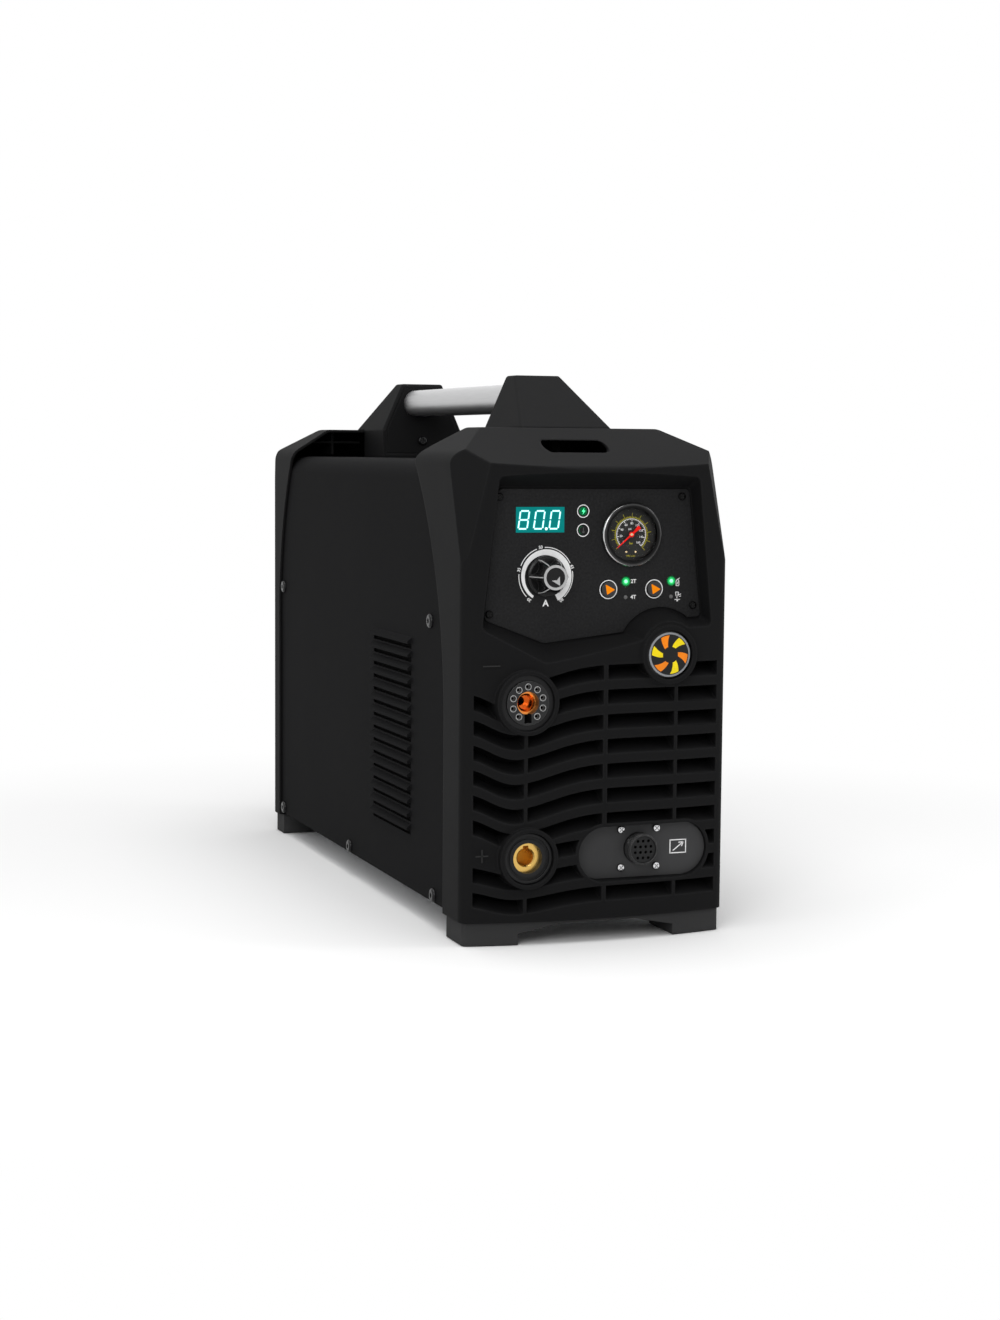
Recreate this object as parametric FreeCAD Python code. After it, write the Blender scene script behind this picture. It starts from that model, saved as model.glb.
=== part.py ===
import FreeCAD
import Part
import math
import os

# Plasma cutter unit: an inverter power source in a steel and plastic case with a carry handle.
# Millimetres. X runs to the right seen from the front, Y from the front to the back, Z up.
# The origin is on the floor, under the middle of the case.

# Whole case
case_width = 220.0
case_length = 608.0
foot_height = 18.0
bezel_top = 396.5
cover_top = 370.7

# Plastic front and rear bezels
bezel_wall = 2.5
boss_proud = 2.0
bow = 12.0
corner_round = 9.0
shoulder_height = 366.0
corner_height = 374.0
plateau_half = 75.0
front_plateau_edge = 75.0
rear_plateau_edge = 56.0
facet_start = 275.0
front_facet_depth = 45.0
rear_facet_depth = 20.0
facet_width = 21.0
front_seam_low = 56.0
front_seam_high = 134.0
front_rim = 108.0
rear_seam_low = 36.0
rear_seam_high = 83.0
rear_rim = 86.0
front_rim_lean = 6.0
rear_rim_lean = 1.0
bezel_rib = 2.0
bezel_rib_spacing = 66.0
bezel_rib_setback = 15.0

# Steel case
sheet = 1.5
cover_sheet = 1.2
fit_gap = 0.2
base_sheet = 2.0
base_flange = 14.0
cover_overlap = 10.0
cover_bend = 16.0
front_sheet_depth = 36.0
sheet_side_gap = 0.4
sheet_corner_drop = 36.0
sheet_top_drop = 11.0
sheet_chamfer = 14.0
rear_recess = 38.5
post_width = 16.0
post_depth = 12.0
post_height = 232.0
post_pad = 20.0
post_setback = 98.5
post_rear_gap = 1.7
post_screw_drop = 10.5
base_screw_rise = 6.0
low_screw_shift = 10.4
middle_screw_y = 23.0

# Side louvres
louvre_count = 15
louvre_pitch = 10.9
louvre_length = 108.0
louvre_front = 148.5
louvre_top = 221.8
louvre_proud = 3.8
louvre_hood = 5.8
louvre_gap = 4.2
louvre_skin = 1.0
louvre_lip = 2.0

# Foot mouldings
foot_side_inset = 2.6
foot_front_inset = 3.0
foot_width = 42.6
front_foot_depth = 39.0
rear_foot_depth = 29.0
foot_step = 8.5
arch_height = 15.5
arch_half = 31.0

# Carry handle
tower_base_half = 38.5
tower_top_half = 19.6
tower_top = 439.6
front_tower_face = 172.5
rear_tower_face = 150.8
tower_base_depth = 89.1
tower_top_depth = 21.7
tower_round = 3.0
tower_wall = 3.5
tower_plate_sheet = 3.0
tower_plate_inset = 4.0
tower_screw_height = 386.5
bar_width = 36.0
bar_height = 24.0
bar_round = 11.0
bar_wall = 2.5
bar_centre = 421.5
bar_grip = 18.0

# Pan head screws, and the smaller ones of the panels
screw_head = 4.2
screw_head_height = 2.3
cover_screw_head = 5.8
cover_screw_rise = 2.6
screw_shank = 2.0
screw_length = 7.0
screw_clearance = 0.1
small_head = 3.0
small_head_height = 1.6
small_shank = 1.4
small_length = 5.0

# Control panel and the recess that it lies in
panel_face = 22.0
panel_sheet = 2.0
panel_top = 349.5
panel_top_half = 79.0
panel_low_half = 90.0
panel_low = 250.0
panel_point_x = -41.0
panel_point = 231.3
panel_top_round = 4.0
panel_side_round = 3.0
panel_low_round = 5.0
panel_point_round = 8.0
panel_gap = 2.0
mouth_top = 361.0
mouth_top_half = 83.0
mouth_low_half = 96.5
mouth_low = 241.0
mouth_point_x = -45.5
mouth_point = 217.7
notch_gap = 17.0
mouth_notch_gap = 7.0
notch_start = 50.0
notch_end = 152.0
window_top = 340.5
window_low = 263.0
window_half = 79.0

# What sits on the control panel: places across and up
display_x = -45.0
display_z = 326.0
display_width = 39.6
display_height = 19.7
display_proud = 0.3
lamp_x = -9.7
lamp_high = 332.5
lamp_low = 317.9
lamp_radius = 3.2
led_radius = 1.5
led_offset = 14.6
led_high = 278.0
led_low = 265.7
button_xs = [12.0, 50.5]
button_z = 271.9
button_radius = 6.0
button_proud = 1.6
button_gap = 0.3
button_collar = 1.0
dial_x = -39.9
dial_z = 282.8
knob_radius = 15.8
knob_top_radius = 9.9
knob_length = 20.6
knob_gap = 0.4
knob_flutes = 6
knob_cap_radius = 7.8
knob_cap_height = 0.8
shaft_radius = 3.0
running_gap = 0.05
bush_radius = 4.0
encoder_size = 14.0
board_gap = 4.4
board_sheet = 1.6
panel_screw_places = [(-78.4, 343.5), (72.8, 343.9), (-86.1, 254.2), (83.4, 258.8)]

# Pressure gauge
gauge_x = 30.2
gauge_z = 314.4
gauge_radius = 25.0
gauge_bore = 21.5
gauge_case_radius = 22.8
gauge_case_depth = 20.0
gauge_stem = 11.0
gauge_stem_length = 9.0
gauge_ring_proud = 5.0
gauge_dial_sheet = 0.8
gauge_lens_sheet = 1.5
needle_length = 15.6
needle_tail = 9.0
needle_width = 1.6
needle_sheet = 0.6
needle_hub = 2.0
needle_pin = 0.8
needle_depth = 5.0
needle_lift = 0.8
needle_rest = 221.4

# Badge
badge_x = 56.2
badge_z = 221.9
badge_radius = 18.8
badge_boss = 23.0
badge_height = 3.8
badge_sunk = 3.0
badge_shoulder = 1.5

# Grille
grille_depth = 16.0
grille_rows = 10
grille_pitch = 19.1
grille_first = 215.6
slot_height = 11.5
slat_slope = 0.47
grille_low = 24.0
grille_high = 236.0
grille_columns = [(-101.0, -62.0), (-59.3, 1.2), (4.8, 62.3), (65.2, 101.0)]
plain_cells = [(0, 0), (0, 7)]
wave_centre = -70.0
wave_left = 25.0
wave_right = 40.0
wave_deep = 14.5
wave_shallow = 8.0
wave_deep_rows = 7

# Strap slot in the shoulder
strap_x = -9.0
strap_z = 382.0
strap_length = 54.0
strap_height = 9.4

# Torch socket
torch_x = -60.3
torch_z = 187.3
torch_boss = 25.0
torch_bore = 21.5
torch_sunk = 3.0
insert_radius = 17.0
insert_front = 1.5
insert_depth = 34.0
torch_hole = 8.9
torch_key = 6.0
torch_contact_sunk = 4.5
torch_contact_bore = 5.5
torch_pin_circle = 12.6
torch_pin_hole = 2.1
torch_pin_sunk = 2.5
torch_pin_wall = 0.8
torch_flange = 28.0
torch_hose_gap = 16.0
socket_flange_sheet = 4.0

# Earth socket
earth_x = -58.5
earth_z = 67.4
earth_boss = 23.6
earth_bore = 20.2
earth_sunk = 3.0
earth_brass = 11.7
earth_brass_sunk = 9.0
earth_pin = 6.5
earth_pin_depth = 30.0
earth_key = 4.5
earth_key_depth = 2.6
earth_stud = 6.0
earth_stud_length = 18.0

# Interface socket in its pill shaped recess
pill_x = 37.7
pill_z = 68.1
pill_half = 58.3
pill_radius = 24.0
pill_wall = 2.6
plate_sunk = 14.0
plate_sheet = 2.0
plate_ledge = 2.0
link_x = 36.6
link_z = 69.8
link_radius = 12.3
link_bore = 10.6
link_proud = 11.0
link_insert_sunk = 1.0
link_flange_edge = 2.2
link_flange_sheet = 1.6
link_screw_pitch = 30.0
link_pin_hole = 1.2

# Rear panel
fan_z = 104.0
fan_size = 120.0
fan_bore = 57.5
fan_depth = 38.0
fan_round = 8.0
fan_hub = 20.0
fan_blades = 7
fan_tip_gap = 1.5
fan_shaft = 3.0
fan_strut = 6.0
fan_plate = 4.0
guard_wire = 1.2
guard_gap = 3.0
guard_pitch = 9.0
guard_foot = 13.0
switch_x = -55.0
switch_z = 286.0
switch_size = 48.0
switch_plate = 5.0
switch_round = 3.0
switch_body = 42.0
switch_depth = 40.0
switch_knob_radius = 16.0
switch_knob_length = 17.0
switch_grip = 7.0
gland_x = 52.0
gland_z = 286.0
gland_nut = 16.0
gland_bore = 7.0
gland_length = 38.0
regulator_x = -48.0
regulator_z = 212.0
regulator_radius = 20.0
regulator_depth = 46.0
regulator_knob_radius = 17.0
regulator_knob_length = 24.0
regulator_stem_radius = 5.0
inlet_x = 50.0
inlet_z = 212.0
inlet_hex = 17.0
inlet_length = 26.0
inlet_bore = 4.0
window_side = 92.0
rear_window_low = 34.0
rear_window_shoulder = 322.0
rear_window_top = 348.0
rear_window_top_half = 76.0

# Inside
sink_width = 84.0
sink_length = 190.0
sink_height = 60.0
sink_base = 10.0
sink_fins = 11
fin_sheet = 2.0
module_width = 34.0
module_length = 62.0
module_height = 14.0
power_board_width = 150.0
power_board_length = 250.0
driver_height = 100.0
capacitor_radius = 16.0
capacitor_height = 48.0
core_x = 20.0
core_width = 78.0
core_inset = 12.0
core_length = 66.0
core_height = 56.0
core_setback = 68.0
choke_outer = 34.0
choke_inner = 14.0
choke_height = 40.0
valve_size = 26.0
valve_height = 38.0
valve_setback = 41.0
valve_coil = 8.0
hose_radius = 4.0
hose_bore = 2.6
hose_bend = 24.0

front_face = -case_length / 2
back_face = case_length / 2
apex = case_length / 2 - boss_proud
half_width = case_width / 2
cover_half = half_width - bezel_wall - fit_gap
cover_bottom = foot_height + bezel_wall + fit_gap
base_bottom = foot_height + bezel_wall
base_top = base_bottom + base_sheet
front_sheet_face = front_face + boss_proud + front_sheet_depth
rear_sheet_face = back_face - boss_proud - rear_recess
panel_front = front_face + panel_face
panel_back = panel_front + panel_sheet
board_front = panel_back + board_gap
strap_span = strap_length / 2


def point(x, y, z):
    return FreeCAD.Vector(x, y, z)


# A closed wire through corners (u, v) or (u, v, radius). A step ("via", u, v) bends the run
# after it into an arc through that point. place turns (u, v) into a point of the case.
def drawn(steps, place):
    corners = []
    for step in steps:
        if step[0] == "via":
            corners[-1]["via"] = (step[1], step[2])
        else:
            radius = step[2] if len(step) > 2 else 0.0
            corners.append({"at": (step[0], step[1]), "radius": radius, "via": None})
    count = len(corners)
    for index, corner in enumerate(corners):
        before = corners[index - 1]["at"]
        after = corners[(index + 1) % count]["at"]
        corner["cut"] = corner_cut(before, corner["at"], after, corner["radius"])
    edges = []
    for index, corner in enumerate(corners):
        start, middle, end = corner["cut"]
        if corner["radius"] > 0:
            edges.append(Part.Arc(place(*start), place(*middle), place(*end)).toShape())
        following = corners[(index + 1) % count]["cut"][0]
        if corner["via"]:
            edges.append(Part.Arc(place(*end), place(*corner["via"]), place(*following)).toShape())
        else:
            edges.append(Part.LineSegment(place(*end), place(*following)).toShape())
    return Part.Wire(edges)


def corner_cut(before, at, after, radius):
    if radius <= 0:
        return at, at, at
    back = (before[0] - at[0], before[1] - at[1])
    ahead = (after[0] - at[0], after[1] - at[1])
    back_size = math.hypot(*back)
    ahead_size = math.hypot(*ahead)
    back = (back[0] / back_size, back[1] / back_size)
    ahead = (ahead[0] / ahead_size, ahead[1] / ahead_size)
    half_angle = math.acos(back[0] * ahead[0] + back[1] * ahead[1]) / 2
    reach = radius / math.tan(half_angle)
    middle = (back[0] + ahead[0], back[1] + ahead[1])
    middle_size = math.hypot(*middle)
    inward = (middle[0] / middle_size, middle[1] / middle_size)
    out = radius / math.sin(half_angle) - radius
    start = (at[0] + back[0] * reach, at[1] + back[1] * reach)
    end = (at[0] + ahead[0] * reach, at[1] + ahead[1] * reach)
    return start, (at[0] + inward[0] * out, at[1] + inward[1] * out), end


# Outlines pushed out square to the front view, the side view and the plan
def from_front(steps, y_start, y_end, inset=0.0):
    face = Part.Face(drawn(steps, lambda u, v: point(u, y_start, v)))
    if inset:
        face = face.makeOffset2D(-inset)
    return face.extrude(point(0, y_end - y_start, 0))


def from_side(steps, x_start, x_end, inset=0.0):
    face = Part.Face(drawn(steps, lambda u, v: point(x_start, u, v)))
    if inset:
        face = face.makeOffset2D(-inset)
    return face.extrude(point(x_end - x_start, 0, 0))


def from_above(steps, z_start, z_end):
    face = Part.Face(drawn(steps, lambda u, v: point(u, v, z_start)))
    return face.extrude(point(0, 0, z_end - z_start))


def block(x_low, x_high, y_low, y_high, z_low, z_high):
    return Part.makeBox(x_high - x_low, y_high - y_low, z_high - z_low, point(x_low, y_low, z_low))


# A round bar along Y
def rod(x, z, radius, y_start, y_end):
    return Part.makeCylinder(radius, y_end - y_start, point(x, y_start, z), point(0, 1, 0))


def ring(x, z, outer, inner, y_start, y_end):
    return rod(x, z, outer, y_start, y_end).cut(rod(x, z, inner, y_start - 1, y_end + 1))


def hexagon(x, z, across, y_start, y_end):
    corner = across / math.sqrt(3)
    places = [math.radians(60 * turn) for turn in range(6)]
    steps = [(x + corner * math.cos(a), z + corner * math.sin(a)) for a in places]
    return from_front(steps, y_start, y_end)


# A square with rounded corners
def square(x, z, size, corner, y_start, y_end):
    half = size / 2
    steps = [
        (x - half, z - half, corner),
        (x + half, z - half, corner),
        (x + half, z + half, corner),
        (x - half, z + half, corner),
    ]
    return from_front(steps, y_start, y_end)


def pill(x, z, half, radius, y_start, y_end):
    steps = [
        (x - half + radius, z - radius),
        (x + half - radius, z - radius),
        ("via", x + half, z),
        (x + half - radius, z + radius),
        (x - half + radius, z + radius),
        ("via", x - half, z),
    ]
    return from_front(steps, y_start, y_end)


# A turned piece: (radius, place along Y) steps spun about an axis along Y
def turned(x, z, steps):
    wire = drawn(steps, lambda u, v: point(x + u, v, z))
    return Part.Face(wire).revolve(point(x, 0, z), point(0, 1, 0), 360)


def both_sides(shape):
    return [shape, shape.mirror(point(0, 0, 0), point(1, 0, 0))]


def front_to_back(shape):
    return shape.mirror(point(0, 0, 0), point(0, 1, 0))


def joined(shapes):
    whole = shapes[0]
    if len(shapes) > 1:
        whole = whole.fuse(shapes[1:])
    return whole.removeSplitter()


def without(shape, tools):
    return shape.cut(Part.makeCompound(tools))


def export(name, shape):
    shape.exportStep("parts/" + name + ".step")


# The bowed face of a bezel: how far forward of the middle it is at x
bow_radius = (half_width ** 2 + bow ** 2) / (2 * bow)


def face_at(x, inset=0.0):
    return -apex + bow_radius - math.sqrt((bow_radius - inset) ** 2 - x ** 2)


# The full outer form of a bezel, drawn at the front, moved in by inset on all faces
def bezel_form(plateau_edge, facet_depth, inset):
    front_view = [
        (-half_width, foot_height),
        (half_width, foot_height),
        (half_width, corner_height, 14.0),
        (plateau_half, bezel_top, 8.0),
        (-plateau_half, bezel_top, 8.0),
        (-half_width, corner_height, 14.0),
    ]
    open_end = -40.0 + 3 * inset
    side_view = [
        (open_end, foot_height),
        (open_end, bezel_top),
        (-apex + plateau_edge, bezel_top, 10.0),
        (-apex, shoulder_height, 5.0),
        (-apex, foot_height),
    ]
    side = half_width - inset
    plan = [
        (side, face_at(side, inset)),
        (side, open_end),
        (-side, open_end),
        (-side, face_at(side, inset)),
        ("via", 0, -apex + inset),
    ]
    form = from_above(plan, 0, bezel_top + 20)
    corners = [e for e in form.Edges if is_front_corner(e, side, face_at(side, inset))]
    form = form.makeFillet(corner_round - inset, corners)
    form = form.common(from_front(front_view, -apex - 20, 0, inset))
    form = form.common(from_side(side_view, -half_width - 20, half_width + 20, inset))
    return without(form, both_sides(facet_waste(facet_depth, inset)))


def is_front_corner(edge, side, depth):
    ends = [v.Point for v in edge.Vertexes]
    upright = len(ends) == 2 and abs(ends[0].z - ends[1].z) > 1
    return upright and abs(abs(ends[0].x) - side) < 0.01 and abs(ends[0].y - depth) < 0.01


# The slanted facet at each upper corner, as a block of waste on its outer side
def facet_waste(facet_depth, inset):
    top = point(half_width, -apex + facet_depth, corner_height - 4)
    nose = point(half_width - facet_width, -apex + 5, shoulder_height)
    low = point(half_width, -apex + 10, facet_start)
    normal = (nose - top).cross(low - top)
    normal.normalize()
    if normal.x < 0:
        normal = normal * -1
    waste = Part.makeBox(400, 400, 200, point(-200, -200, 0))
    turn = FreeCAD.Rotation(point(0, 0, 1), normal)
    waste.Placement = FreeCAD.Placement(top - normal * inset, turn)
    return waste


# The side outline that keeps the part of a bezel in front of its curved seam
def seam_keep(low, high, rim, lean, straight_to):
    middle = ((low + high) / 2 - (high - low) * 0.19, (straight_to + corner_height) / 2 + 17)
    steps = [
        (-apex - 10, 0),
        (-apex + low, 0),
        (-apex + low, straight_to),
        ("via", -apex + middle[0], middle[1]),
        (-apex + high, corner_height - 3),
        (-apex + (high + rim) / 2 + lean, corner_height + 8),
        (-apex + rim, bezel_top),
        (-apex + rim, bezel_top + 5),
        (-apex - 10, bezel_top + 5),
    ]
    return from_side(steps, -half_width - 10, half_width + 10)


# Stiffening ribs under the shoulder, above the cover
def shoulder_ribs(inner_form, rim, places):
    rib_end = -apex + rim - bezel_rib_setback
    low = cover_top + 2
    ribs = []
    for x in places:
        ribs.append(block(x - bezel_rib / 2, x + bezel_rib / 2, -apex, rib_end, low, bezel_top))
    middle = (low + bezel_top) / 2
    inner = tower_base_half
    for side in (-1, 1):
        near = min(side * inner, side * half_width)
        far = max(side * inner, side * half_width)
        ribs.append(block(near, far, -apex, rib_end, middle - bezel_rib / 2, middle + bezel_rib / 2))
    return [rib.common(inner_form) for rib in ribs]


# Webs that close the shoulder beside the neck of the front tower
def shoulder_webs(inner_form):
    end = -apex + front_rim - bezel_rib_setback
    web = block(tower_base_half, half_width, end - bezel_rib, end, cover_top + 2, bezel_top)
    return [side.common(inner_form) for side in both_sides(web)]


def bezel_shell(plateau_edge, facet_depth, seam, rib_places):
    outer = bezel_form(plateau_edge, facet_depth, 0.0)
    inner = bezel_form(plateau_edge, facet_depth, bezel_wall)
    shell = joined([outer.cut(inner)] + shoulder_ribs(inner, seam[2], rib_places))
    return outer, inner, shell


# Corners of the control panel and of the mouth of its recess, and the height of the notch
# that goes round the badge
panel_corners = {
    "top": panel_top,
    "top_half": panel_top_half,
    "low": panel_low,
    "low_half": panel_low_half,
    "point_x": panel_point_x,
    "point": panel_point,
    "notch": badge_radius + notch_gap,
}
floor_corners = {
    "top": panel_top + panel_gap,
    "top_half": panel_top_half + panel_gap,
    "low": panel_low - panel_gap,
    "low_half": panel_low_half + panel_gap,
    "point_x": panel_point_x,
    "point": panel_point - panel_gap,
    "notch": badge_radius + notch_gap - panel_gap,
}
mouth_corners = {
    "top": mouth_top,
    "top_half": mouth_top_half,
    "low": mouth_low,
    "low_half": mouth_low_half,
    "point_x": mouth_point_x,
    "point": mouth_point,
    "notch": badge_radius + mouth_notch_gap,
}


def between(first, second, share):
    return {key: first[key] + share * (second[key] - first[key]) for key in first}


def panel_steps(c):
    start = math.radians(notch_start)
    end = math.radians(notch_end)
    middle = (start + end) / 2
    radius = c["notch"]
    return [
        (-c["top_half"], c["top"], panel_top_round),
        (c["top_half"], c["top"], panel_top_round),
        (c["low_half"], c["low"], panel_side_round),
        (badge_x + radius * math.cos(start), badge_z + radius * math.sin(start)),
        ("via", badge_x + radius * math.cos(middle), badge_z + radius * math.sin(middle)),
        (badge_x + radius * math.cos(end), badge_z + radius * math.sin(end)),
        (c["point_x"], c["point"], panel_point_round),
        (-c["low_half"], c["low"], panel_low_round),
    ]


# The hollow of the recess: a floor outline that flares to the mouth, with a wider lip
def recess_hollow():
    floor = panel_back
    mouth = front_face + 7.0
    lip = front_face - 2.0
    sections = [(floor, 0.0), (mouth, 0.9), (lip, 1.35)]
    wires = []
    for y, share in sections:
        steps = panel_steps(between(floor_corners, mouth_corners, share))
        wires.append(drawn(steps, lambda u, v: point(u, y, v)))
    return Part.makeLoft(wires, True, True)


def wave(x, row):
    depth = wave_deep if row < wave_deep_rows else wave_shallow
    width = wave_left if x < wave_centre else wave_right
    return -depth * math.exp(-((x - wave_centre) / width) ** 2)


# One cell of the grille: a waved slot that runs in and up
def grille_slot(column, row):
    left, right = column
    y_start = front_face - 4.0
    reach = grille_depth + front_sheet_depth / 2
    count = 5
    xs = [left + (right - left) * step / (count - 1) for step in range(count)]
    upper = []
    for x in xs:
        lift = slat_slope * (face_at(x) - y_start)
        upper.append(point(x, y_start, grille_first - row * grille_pitch + wave(x, row) - lift))
    lower = [p - point(0, 0, slot_height) for p in upper]
    top = Part.BSplineCurve()
    top.interpolate(upper)
    bottom = Part.BSplineCurve()
    bottom.interpolate(lower)
    edges = [
        top.toShape(),
        Part.LineSegment(upper[-1], lower[-1]).toShape(),
        bottom.toShape(),
        Part.LineSegment(lower[0], upper[0]).toShape(),
    ]
    face = Part.Face(Part.Wire(Part.sortEdges(edges)[0]))
    return face.extrude(point(0, reach, reach * slat_slope))


def front_bezel():
    seam = (front_seam_low, front_seam_high, front_rim, front_rim_lean)
    rib_places = [-bezel_rib_spacing, strap_x, bezel_rib_spacing]
    outer, inner, shell = bezel_shell(front_plateau_edge, front_facet_depth, seam, rib_places)
    zone = block(-half_width, half_width, -apex, front_sheet_face, foot_height, grille_high)
    slats = outer.common(zone).cut(grille_back())
    wall_steps = panel_steps(between(floor_corners, mouth_corners, 1.6))
    walls = from_front(wall_steps, front_face, panel_back + bezel_wall).common(outer)
    body = joined([shell, slats, walls] + shoulder_webs(inner))
    cells = []
    for number, column in enumerate(grille_columns):
        for row in range(grille_rows):
            if (number, row) not in plain_cells:
                cells.append(grille_slot(column, row))
    slot_zone = block(-half_width, half_width, front_face - 10, 0, grille_low, grille_high)
    body = body.cut(Part.makeCompound(cells).common(slot_zone))
    body = joined([body] + front_bosses(outer))
    body = without(body, [recess_hollow()] + front_holes() + [neck_room(front_rim)])
    body = body.common(seam_keep(*seam, 165.0))
    return body.removeSplitter()


# Where the neck of a handle tower goes down behind the rim
def neck_room(rim):
    side = tower_base_half + fit_gap
    return block(-side, side, -apex + rim, 0, cover_top - 5, bezel_top + 5)


# The room behind the slats
def grille_back():
    side = half_width - bezel_wall
    steps = [
        (side, face_at(side, grille_depth)),
        (side, 0),
        (-side, 0),
        (-side, face_at(side, grille_depth)),
        ("via", 0, -apex + grille_depth),
    ]
    return from_above(steps, foot_height + bezel_wall, bezel_top)


# Raised rings round the sockets and the badge
def front_bosses(outer):
    tip = -apex
    proud_form = outer.fuse(block(-half_width, half_width, -apex + bow, front_sheet_face, 0, bezel_top))
    pill_ring = pill(pill_x, pill_z, pill_half, pill_radius, tip, front_sheet_face)
    return [
        rod(torch_x, torch_z, torch_boss, tip, front_sheet_face),
        rod(earth_x, earth_z, earth_boss, tip, front_sheet_face),
        rod(badge_x, badge_z, badge_boss, tip - boss_proud / 4, -apex + grille_depth),
        pill_ring.common(proud_form),
    ]


def front_holes():
    floor = panel_back
    window = [
        (-window_half, window_low, 4.0),
        (window_half, window_low, 4.0),
        (window_half, window_top, 4.0),
        (-window_half, window_top, 4.0),
    ]
    strap = pill(strap_x, strap_z, strap_span, strap_height / 2, front_face, -apex + front_plateau_edge)
    mouth_half = pill_half - pill_wall
    mouth_radius = pill_radius - pill_wall
    room_half = mouth_half - plate_ledge
    room_radius = mouth_radius - plate_ledge
    holes = [
        from_front(window, floor - 1, floor + bezel_wall + 1),
        rod(torch_x, torch_z, torch_bore, front_face - 1, front_sheet_face + 1),
        rod(earth_x, earth_z, earth_bore, front_face - 1, front_sheet_face + 1),
        rod(badge_x, badge_z, badge_radius + fit_gap, front_face - 5, -apex + badge_sunk),
        pill(pill_x, pill_z, mouth_half, mouth_radius, front_face - 5, plate_back()),
        pill(pill_x, pill_z, room_half, room_radius, front_face, front_sheet_face + 1),
        strap,
        flange_room(),
    ]
    for x, z in link_screw_places():
        holes.append(rod(x, z, small_shank + screw_clearance, plate_back(), front_sheet_face + 1))
    for x, z in panel_screw_places:
        holes.append(rod(x, z, small_shank + screw_clearance, floor - 1, floor + small_length))
    return holes


# The room in the bezel for the square flange of the interface socket
def flange_room():
    room = link_screw_pitch / 2 + link_flange_edge + screw_clearance
    end = front_sheet_face + 1
    return block(link_x - room, link_x + room, plate_back(), end, link_z - room, link_z + room)


def plate_back():
    return front_face + boss_proud + plate_sunk


def rear_bezel():
    seam = (rear_seam_low, rear_seam_high, rear_rim, rear_rim_lean)
    rib_places = [-bezel_rib_spacing, bezel_rib_spacing]
    outer, inner, shell = bezel_shell(rear_plateau_edge, rear_facet_depth, seam, rib_places)
    deep = -rear_sheet_face - sheet
    tunnel = from_front(rear_window(bezel_wall), -apex, deep).common(outer)
    body = joined([shell, tunnel])
    body = without(body, [from_front(rear_window(0.0), front_face - 5, deep + 5), neck_room(rear_rim)])
    body = body.common(seam_keep(*seam, 205.0))
    return front_to_back(body.removeSplitter())


# The mouth of the recess round the rear panel
def rear_window(grow):
    side = window_side + grow
    return [
        (-side, rear_window_low - grow, 8.0),
        (side, rear_window_low - grow, 8.0),
        (side, rear_window_shoulder + grow, 8.0),
        (rear_window_top_half + grow, rear_window_top + grow, 8.0),
        (-rear_window_top_half - grow, rear_window_top + grow, 8.0),
        (-side, rear_window_shoulder + grow, 8.0),
    ]


# Steel cover: one folded sheet with pressed louvres on both sides
def outer_cover():
    y_start = -apex + front_seam_low - cover_overlap
    y_end = apex - rear_seam_low + cover_overlap
    outer = from_front(cover_steps(0.0, cover_bottom), y_start, y_end)
    inner = from_front(cover_steps(cover_sheet, cover_bottom - 10), y_start - 1, y_end + 1)
    hoods, slots = louvres()
    return without(joined([outer.cut(inner)] + hoods), slots + cover_screw_holes())


def cover_steps(inset, bottom):
    side = cover_half - inset
    top = cover_top - inset
    return [
        (-side, bottom),
        (side, bottom),
        (side, top, cover_bend - inset),
        (-side, top, cover_bend - inset),
    ]


def louvres():
    hoods = []
    slots = []
    y_start = front_face + louvre_front
    y_end = y_start + louvre_length
    face = cover_half
    tip = cover_half + louvre_proud
    for number in range(louvre_count):
        lip = louvre_top - number * louvre_pitch
        top = lip + louvre_hood
        outside = [
            (face - cover_sheet / 2, lip),
            (tip, lip),
            (tip, lip + louvre_lip, louvre_lip / 2),
            (face - cover_sheet / 2, top),
        ]
        inside = [
            (face - 2 * cover_sheet, lip - louvre_gap),
            (tip - louvre_skin, lip - louvre_gap),
            (tip - louvre_skin, lip + louvre_lip * 0.75),
            (face - 2 * cover_sheet, top - louvre_skin),
        ]
        hoods += both_sides(from_front(outside, y_start, y_end))
        slots += both_sides(from_front(inside, y_start + louvre_skin, y_end - louvre_skin))
    return hoods, slots


# Screws through the sides of the cover: the place of each along and up
def cover_screw_places():
    top = base_top + post_height - post_screw_drop
    low = base_bottom + base_screw_rise
    front = front_face + post_setback
    rear = rear_sheet_face - post_depth / 2 - post_rear_gap
    low_front = front - low_screw_shift
    return [(front, top), (low_front, low), (middle_screw_y, low), (rear, top), (rear, low)]


def cover_screw_holes():
    holes = []
    for y, z in cover_screw_places():
        radius = screw_shank + screw_clearance
        start = cover_half - screw_length - 1
        hole = Part.makeCylinder(radius, screw_length + 5, point(start, y, z), point(1, 0, 0))
        holes += both_sides(hole)
    return holes


def cover_screws():
    screws = []
    for y, z in cover_screw_places():
        out = point(1, 0, 0)
        head = Part.makeCylinder(cover_screw_head, cover_screw_rise, point(cover_half, y, z), out)
        rim = [e for e in head.Edges if e.BoundBox.XMin > cover_half + cover_screw_rise - 0.01]
        head = head.makeFillet(cover_screw_rise * 0.75, rim)
        socket_start = point(cover_half + cover_screw_rise * 0.4, y, z)
        socket = Part.makeCylinder(cover_screw_head * 0.36, cover_screw_rise, socket_start, out)
        start = point(cover_half - screw_length, y, z)
        shank = Part.makeCylinder(screw_shank, screw_length, start, out)
        screws += both_sides(head.cut(socket).fuse(shank).removeSplitter())
    return Part.makeCompound(screws)


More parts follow.
